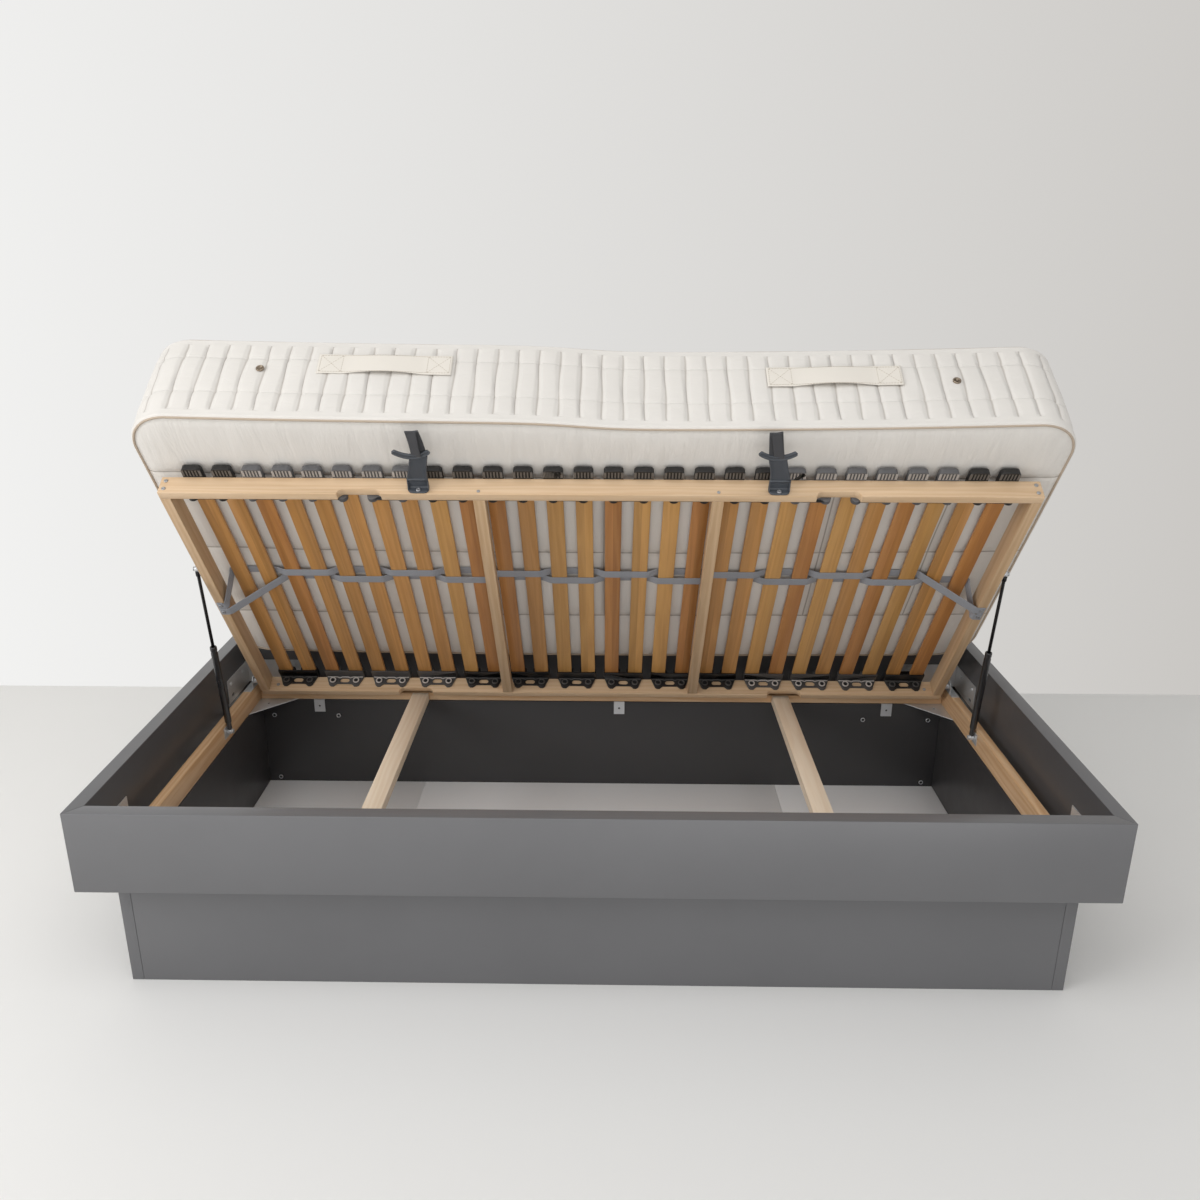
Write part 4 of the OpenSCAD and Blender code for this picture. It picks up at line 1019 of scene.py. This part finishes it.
rimmed_ear = [(-1, -0.3), (-0.9, -0.9), (-0.68, -1), (-0.5, -0.62), (0, -0.5), (0.5, -0.62), (0.68, -1),
              (0.9, -0.9), (1, -0.3), (1, 0.5), (0.8, 1), (0, 1), (-0.8, 1), (-1, 0.5)]


def rounded_end(share, radius, half):
    """Half width of a bar whose ends are rounded: the half less what the circle takes,
    where share is the distance in from the end."""
    inside = np.clip(1 - share / radius, 0, 1)
    return half - radius * (1 - np.sqrt(1 - inside ** 2))


def bend_through(corners, count, reach):
    """Evenly spaced points along the corners, each corner eased over reach."""
    line = softened(corners, 0.0008, reach)
    run = lengths(line)
    at = np.linspace(0, run[-1], count)
    return np.stack([np.interp(at, run, line[:, axis]) for axis in range(3)], 1), at


def base_bar(name, line, across, wide, deep, material, body, slot, *cad_nodes, outline=flat_band):
    """A swept bar given in the base's own frame, declared as a piece of that body."""
    bar = swept(name, on_base(line), base_direction(*across), wide, deep, material, outline)
    stands_for(bar, body, slot, *cad_nodes)


def retainer(side, sign, neck_off, ears_off, loop_off):
    """One retainer; its neck, ears and loop lie off its middle by the last three lengths."""
    middle = np.array([sign * retainer_x, 0, 0])
    pin = middle + (0, -base_depth - tongue_out, tongue_up)
    face = -base_depth - foot_front
    fixed, turning = ("lifting_base", "plastic_dark"), ("retainer_" + side, "plastic_dark")
    foot_line = [(0, face, 0.0012), (0, face, 0.0195), (0, pin[1] + 0.004, tongue_up)]
    path, at = bend_through(middle + np.array(foot_line), 40, 0.007)
    foot_thick = 0.0021 + 0.0008 * np.clip((at - 0.014) / 0.01, 0, 1)
    foot_thick = np.where(at < 0.002, 0.0021 * np.sqrt(np.clip(at / 0.002, 0.15, 1)), foot_thick)
    base_bar("retainer_foot_" + side, path, (1, 0, 0), rounded_end(at, 0.011, foot_half), foot_thick, plastic,
             *fixed, "retainer_bases")
    # A web either side stiffens the bend and holds the pin
    for letter, edge in (("a", -1), ("b", 1)):
        across = middle[0] + edge * (foot_half - 0.0016)
        web, _ = bend_through([(across, face - 0.001, 0.0105), (across, face - 0.009, 0.0150),
                               (across, pin[1] + 0.003, tongue_up - 0.0012)], 12, 0.004)
        base_bar("retainer_cheek_%s_%s" % (side, letter), web, (1, 0, 0), 0.0014, np.linspace(0.0042, 0.0034, 12),
                 plastic, *fixed)
    base_bar("retainer_knuckle_" + side, pin + np.linspace(-1, 1, 5)[:, None] * (foot_half - 0.0004, 0, 0),
             (0, 1, 0), knuckle_r, knuckle_r, plastic, *fixed, outline=circle)
    # The neck: as wide as the foot where it leaves the bend, a little narrower at the ears
    share = np.linspace(0, 1, 30)
    neck = pin + np.stack([neck_off * share ** 1.1, -0.001 - ear_reach * share, 0 * share], 1)
    base_bar("retainer_neck_" + side, neck, (1, 0, 0),
             0.0218 - 0.0012 * np.sin(math.pi * share) ** 1.5 - 0.0030 * share, 0.0019, plastic,
             *turning, "retainer_tongue_" + side, outline=rimmed)
    # The crescent: its ears bend away from the hinge and thin to round tips
    k = np.linspace(-4, 4, 41)
    ears = pin + np.stack([k * ear_step + ears_off, 0.003 - ear_reach - k ** 2 * ear_curl, 0 * k], 1)
    to_tip = (4 - np.abs(k)) * ear_step
    base_bar("retainer_ears_" + side, ears, (0, 1, 0),
             rounded_end(to_tip, 0.0042, 0.0055) + 0.0009 * np.cos(k * math.pi / 8),
             0.0034 * rounded_end(to_tip, 0.003, 0.0031) / 0.0031, plastic, *turning, outline=rimmed_ear)
    # Two strands of webbing: a broad one behind, and one folded half over it in front
    out = np.linspace(0, 1, 26)
    reach = ear_reach - 0.004 + (loop_end - ear_reach + 0.003) * out
    bow = 0.0042 * np.sin(math.pi * out ** 0.9)
    for letter, shift, begin, end, level, stood_for in (
            ("a", -0.001 * sign, 0.0165, 0.0140, 1, ["pull_loop_" + side]),
            ("b", 0.0045 * sign, 0.0105, 0.0095, -1, [])):
        x = shift * (1 - out) + neck_off + (loop_off - neck_off) * out
        strand = pin + np.stack([x, -reach, level * bow * 0.9 + level * 0.0009], 1)
        base_bar("pull_loop_%s_%s" % (side, letter), strand, (1, 0, 0.12 * level),
                 begin + (end - begin) * out ** 0.8, 0.0007, webbing, turning[0], "webbing_dark", *stood_for)
    fold = pin + (loop_off, 0.0012 - loop_end, 0) + np.linspace(-1, 1, 5)[:, None] * (0.0137, 0, 0)
    base_bar("pull_loop_end_" + side, fold, (0, 1, 0), 0.0013, 0.0019, webbing, turning[0], "webbing_dark",
             outline=circle)


retainer("left", -1, 0.013, -0.002, 0.008)
retainer("right", 1, -0.0154, -0.0154, -0.027)


# Gas struts: black painted cylinders with a crimped neck and a collar, a ground
# black rod, and zinc end pieces that turn on studs at the plinth and the base.
strut_x, strut_long = 0.959, 0.472789
strut_foot = np.array(next(joint for joint in frame["joints"] if joint["name"] == "strut_swing_left")["pos_m"])
strut_lean = math.radians(9.409)
strut_axis = np.array([0, -math.sin(strut_lean), math.cos(strut_lean)])
barrel = [(0, 0.0063), (0.0048, 0.0066), (0.0060, 0.0085), (0.0064, 0.0110), (0.0064, 0.0260),
          (0.0082, 0.0300), (0.0085, 0.0315), (0.0085, 0.2380), (0.0077, 0.2410), (0.0077, 0.2430),
          (0.0084, 0.2455), (0.0085, 0.2475), (0.0085, 0.2540), (0.0078, 0.2560), (0.0052, 0.2563),
          (0.0046, 0.2540), (0.0046, 0.2300), (0, 0.2300)]
rod_profile = [(0, 0.201), (0.004, 0.2012), (0.004, 0.4520), (0.0050, 0.4532), (0.0056, 0.4545),
               (0.0058, 0.4560), (0.0058, 0.4650), (0.0046, 0.4680), (0, 0.4680)]
eye_profile = [(0, -0.005), (0.0060, -0.005), (0.0067, -0.0042), (0.0067, 0.0042), (0.0060, 0.005), (0, 0.005)]
stud_profile = [(0, -0.0067), (0.004, -0.0066), (0.004, 0.0062), (0.0054, 0.0064), (0.0056, 0.0078),
                (0.0040, 0.0094), (0, 0.0096)]
strut_paint = marked_material("black strut paint", linear(30, 30, 32), 0.05, 0.3, 3e-6, coat=0.5)
rod_black = marked_material("ground black rod", linear(38, 38, 40), 0.03, 0.18, 1e-6, metallic=0.6)


def strut_part(name, profile, sides, material, place, axis, up, body, slot, *cad_nodes):
    """A turned piece of a strut, declared as a piece of that body."""
    stands_for(lathed(name, profile, sides, material, place, axis, up), body, slot, *cad_nodes)


for side, sign in (("left", -1), ("right", 1)):
    foot = np.array([sign * strut_x, *strut_foot[1:]])
    head = foot + strut_axis * strut_long
    sideways = np.array([sign, 0.0, 0.0])
    tube, rod = "cylinder_" + side, "rod_" + side
    strut_part("strut_barrel_" + side, barrel, 40, strut_paint, foot, strut_axis, sideways,
               tube, "strut_black", "strut_cylinder_" + side)
    strut_part("strut_low_eye_" + side, eye_profile, 32, zinc, foot, sideways, strut_axis, tube, "zinc")
    strut_part("strut_rod_" + side + "_bar", rod_profile, 24, rod_black, foot, strut_axis, sideways,
               rod, "strut_rod", "strut_rod_" + side)
    strut_part("strut_high_eye_" + side, eye_profile, 32, zinc, head, sideways, strut_axis, rod, "zinc")
    strut_part("strut_high_stud_" + side, stud_profile, 24, zinc, head, sideways, strut_axis, rod, "zinc")


# Moulded detail of the rubber caps: a raised ring and a button on each round boss,
# and a ridge that arches over the finger slot. Rings and ridges take a lighter tone than the
# rubber, a painted highlight where their crests catch the light; the black buttons in the
# grey caps are painted shade in the boss holes.
cap_pairs = {"dark": (0, 4, 5, 6, 7, 8, 9, 13), "grey": (1, 2, 3, 10, 11, 12)}
cap_boss_up, cap_face = 0.032, -0.0282
ridge_in, ridge_r = 0.0040, 0.0012
crest_highlight_tones = {"dark": linear(84, 82, 80), "grey": linear(204, 197, 191)}
rubber_slots = {"dark": "rubber_black", "grey": "rubber_grey"}
boss_ring = [(0.0058, -0.0010), (0.0058, 0.0006), (0.0066, 0.0013), (0.0080, 0.0013), (0.0089, 0.0005),
             (0.0092, -0.0012)]
boss_button = [(0.0036, -0.0040), (0.0036, -0.0022), (0.0028, -0.0014), (0.0012, -0.0011), (0.0012, -0.0040)]
half_ridge = [(0.0095, 0.0435), (0.0140, 0.0400), (0.0215, 0.0435), (0.0400, 0.0435), (0.0500, 0.0440)]
ridge_line = [(-x, z) for x, z in half_ridge[::-1]] + half_ridge


def turned_shape(profile):
    """Points and quads of a closed profile, (radius, height) in order, carried round z."""
    profile = np.asarray(profile, float)[:, None]
    points = np.concatenate([profile[..., :1] * circle, np.repeat(profile[..., 1:], len(circle), 1)], -1)
    return points.reshape(-1, 3), quads_of(numbers(*points.shape[:2]), wrap_u=True, wrap_v=True)[:, ::-1]


for tone, pairs in cap_pairs.items():
    crest = marked_material(tone + " rubber crest, painted highlight", crest_highlight_tones[tone], 0.1, 0.38, 1e-5)
    middles = slat_first + (2 * np.array(pairs) + 0.5) * slat_pitch
    bosses = np.concatenate([middles - slat_pitch / 2, middles + slat_pitch / 2])
    facing = frames(base_direction(1, 0, 0), base_up, border_out,
                    on_base(np.stack([bosses, 0 * bosses + cap_face, 0 * bosses + cap_boss_up], 1)))
    # Rings in the lighter crest tone are painted highlight; black buttons are painted shade in the holes.
    for part, profile, look in (("rings", boss_ring, crest), ("buttons", boss_button, rubber_black)):
        made = many("cap_%s_%s" % (part, tone), turned_shape(profile), facing, look)
        stands_for(made, "lifting_base", rubber_slots[tone])
    for pair, middle in zip(pairs, middles):
        line, _ = bend_through([(middle + x, cap_face + ridge_in, z) for x, z in ridge_line], 40, 0.002)
        base_bar("cap_ridge_%d" % pair, line, (0, -1, 0), ridge_r, ridge_r, crest,
                 "lifting_base", rubber_slots[tone])


# Screw and bolt heads: zinc plated pan heads with a cross recess in the lifting
# base, one shape in four sizes, and a bright rim round each bolt in the plinth.
screw_r, screw_high = 0.0045, 0.0024
rung_screw_r, foot_screw_r, belt_screw_r = 0.0036, 0.0052, 0.0050
screw_proud = 0.0003            # a screw's zero stands this far off the rail
bolt_ring_scale = 0.70
bolt_places, bolt_y = ((0.935, 0.216), (0.935, 0.017), (0.750, 0.216)), 0.4158
screw_steel = marked_material("screw steel", linear(168, 168, 170), 0.16, 0.34, 5e-6, metallic=0.85)


def screw_head():
    """A dome of unit radius on a square grid laid over a disc, less a cross: height
    sqrt(1 - 0.85 r ^ 2), sunk where both arms of the cross pass."""
    step = np.array([-1, -0.86, -0.62, -0.5, -0.16, -0.14, 0.14, 0.16, 0.5, 0.62, 0.86, 1])
    a, b = np.meshgrid(step, step, indexing="ij")
    x = a * np.sqrt(1 - b ** 2 / 2)
    y = b * np.sqrt(1 - a ** 2 / 2)
    cross = (((np.abs(a) < 0.15) & (np.abs(b) < 0.55)) | ((np.abs(b) < 0.15) & (np.abs(a) < 0.55)))
    height = np.sqrt(np.maximum(1 - 0.85 * np.hypot(x, y) ** 2, 0)) - 0.55 * cross
    top = np.stack([x, y, height], -1).reshape(-1, 3)
    grid = numbers(len(step), len(step))
    rim = np.r_[grid[:-1, 0], grid[-1, :-1], grid[:0:-1, -1], grid[0, :0:-1]]
    low = len(top) + np.arange(len(rim))
    skirt = np.stack([rim, low, np.roll(low, -1), np.roll(rim, -1)], -1)
    centre = np.full(len(rim) // 2, len(top) + len(rim))
    underside = np.stack([low[::2], centre, np.roll(low, -2)[::2], np.roll(low, -1)[::2]], -1)
    return np.vstack([top, top[rim] * (1, 1, 0), [[0, 0, 0]]]), np.vstack([quads_of(grid), skirt, underside])


def screw_places(places, outward, radius=screw_r):
    """Matrices that stand a screw head on each place, turned a little differently each time."""
    places = on_base(places)
    first = unit(np.cross(outward, (1.0, 0, 0)))
    second = np.cross(outward, first)
    turn = (np.arange(len(places)) * 2.4 + places[:, 0] * 7)[:, None]
    return frames((np.cos(turn) * first + np.sin(turn) * second) * radius,
                  (np.cos(turn) * second - np.sin(turn) * first) * radius,
                  outward * screw_high * radius / screw_r, places)


rings_at = np.array([(sx * x, sy * bolt_y, z) for sx in (-1, 1) for sy in (-1, 1) for x, z in bolt_places])
inward = np.sign(rings_at[:, 1:2]) * bolt_ring_scale
bolt_rings = many("plinth_bolt_rings", turned_shape(boss_ring), frames(
    (bolt_ring_scale, 0, 0), inward * (0, 0, 1), inward * (0, -1, 0), rings_at), zinc)
stands_for(bolt_rings, body_of["plinth_bolts"], "zinc")
rail_face = -base_depth - screw_proud
screws_on_rails = [(sign * belt_screw, rail_face, z) for sign in (-1, 1) for z in (0.012, 0.034)]
screws_on_rails += [(sign * 0.906, -0.0203, 0.020) for sign in (-1, 1)]
screws_in_rungs = [(sign * 0.2576, rail_face, 0.009) for sign in (-1, 1)]
screws_in_feet = [(sign * retainer_x, -base_depth - 0.0045, 0.0085) for sign in (-1, 1)]
belt_ends = [(sign * belt_screw, -belt_line + belt_pull - side * (belt_half + belt_gap), -0.0022)
             for sign in (-1, 1) for side in (-1, 1)]
screws = np.vstack([
    screw_places(screws_on_rails, border_out), screw_places(screws_in_rungs, border_out, rung_screw_r),
    screw_places(screws_in_feet, border_out, foot_screw_r), screw_places(belt_ends, -base_up, belt_screw_r)])
stands_for(many("base_screw_heads", screw_head(), screws, screw_steel), "lifting_base", "zinc", "base_screws")
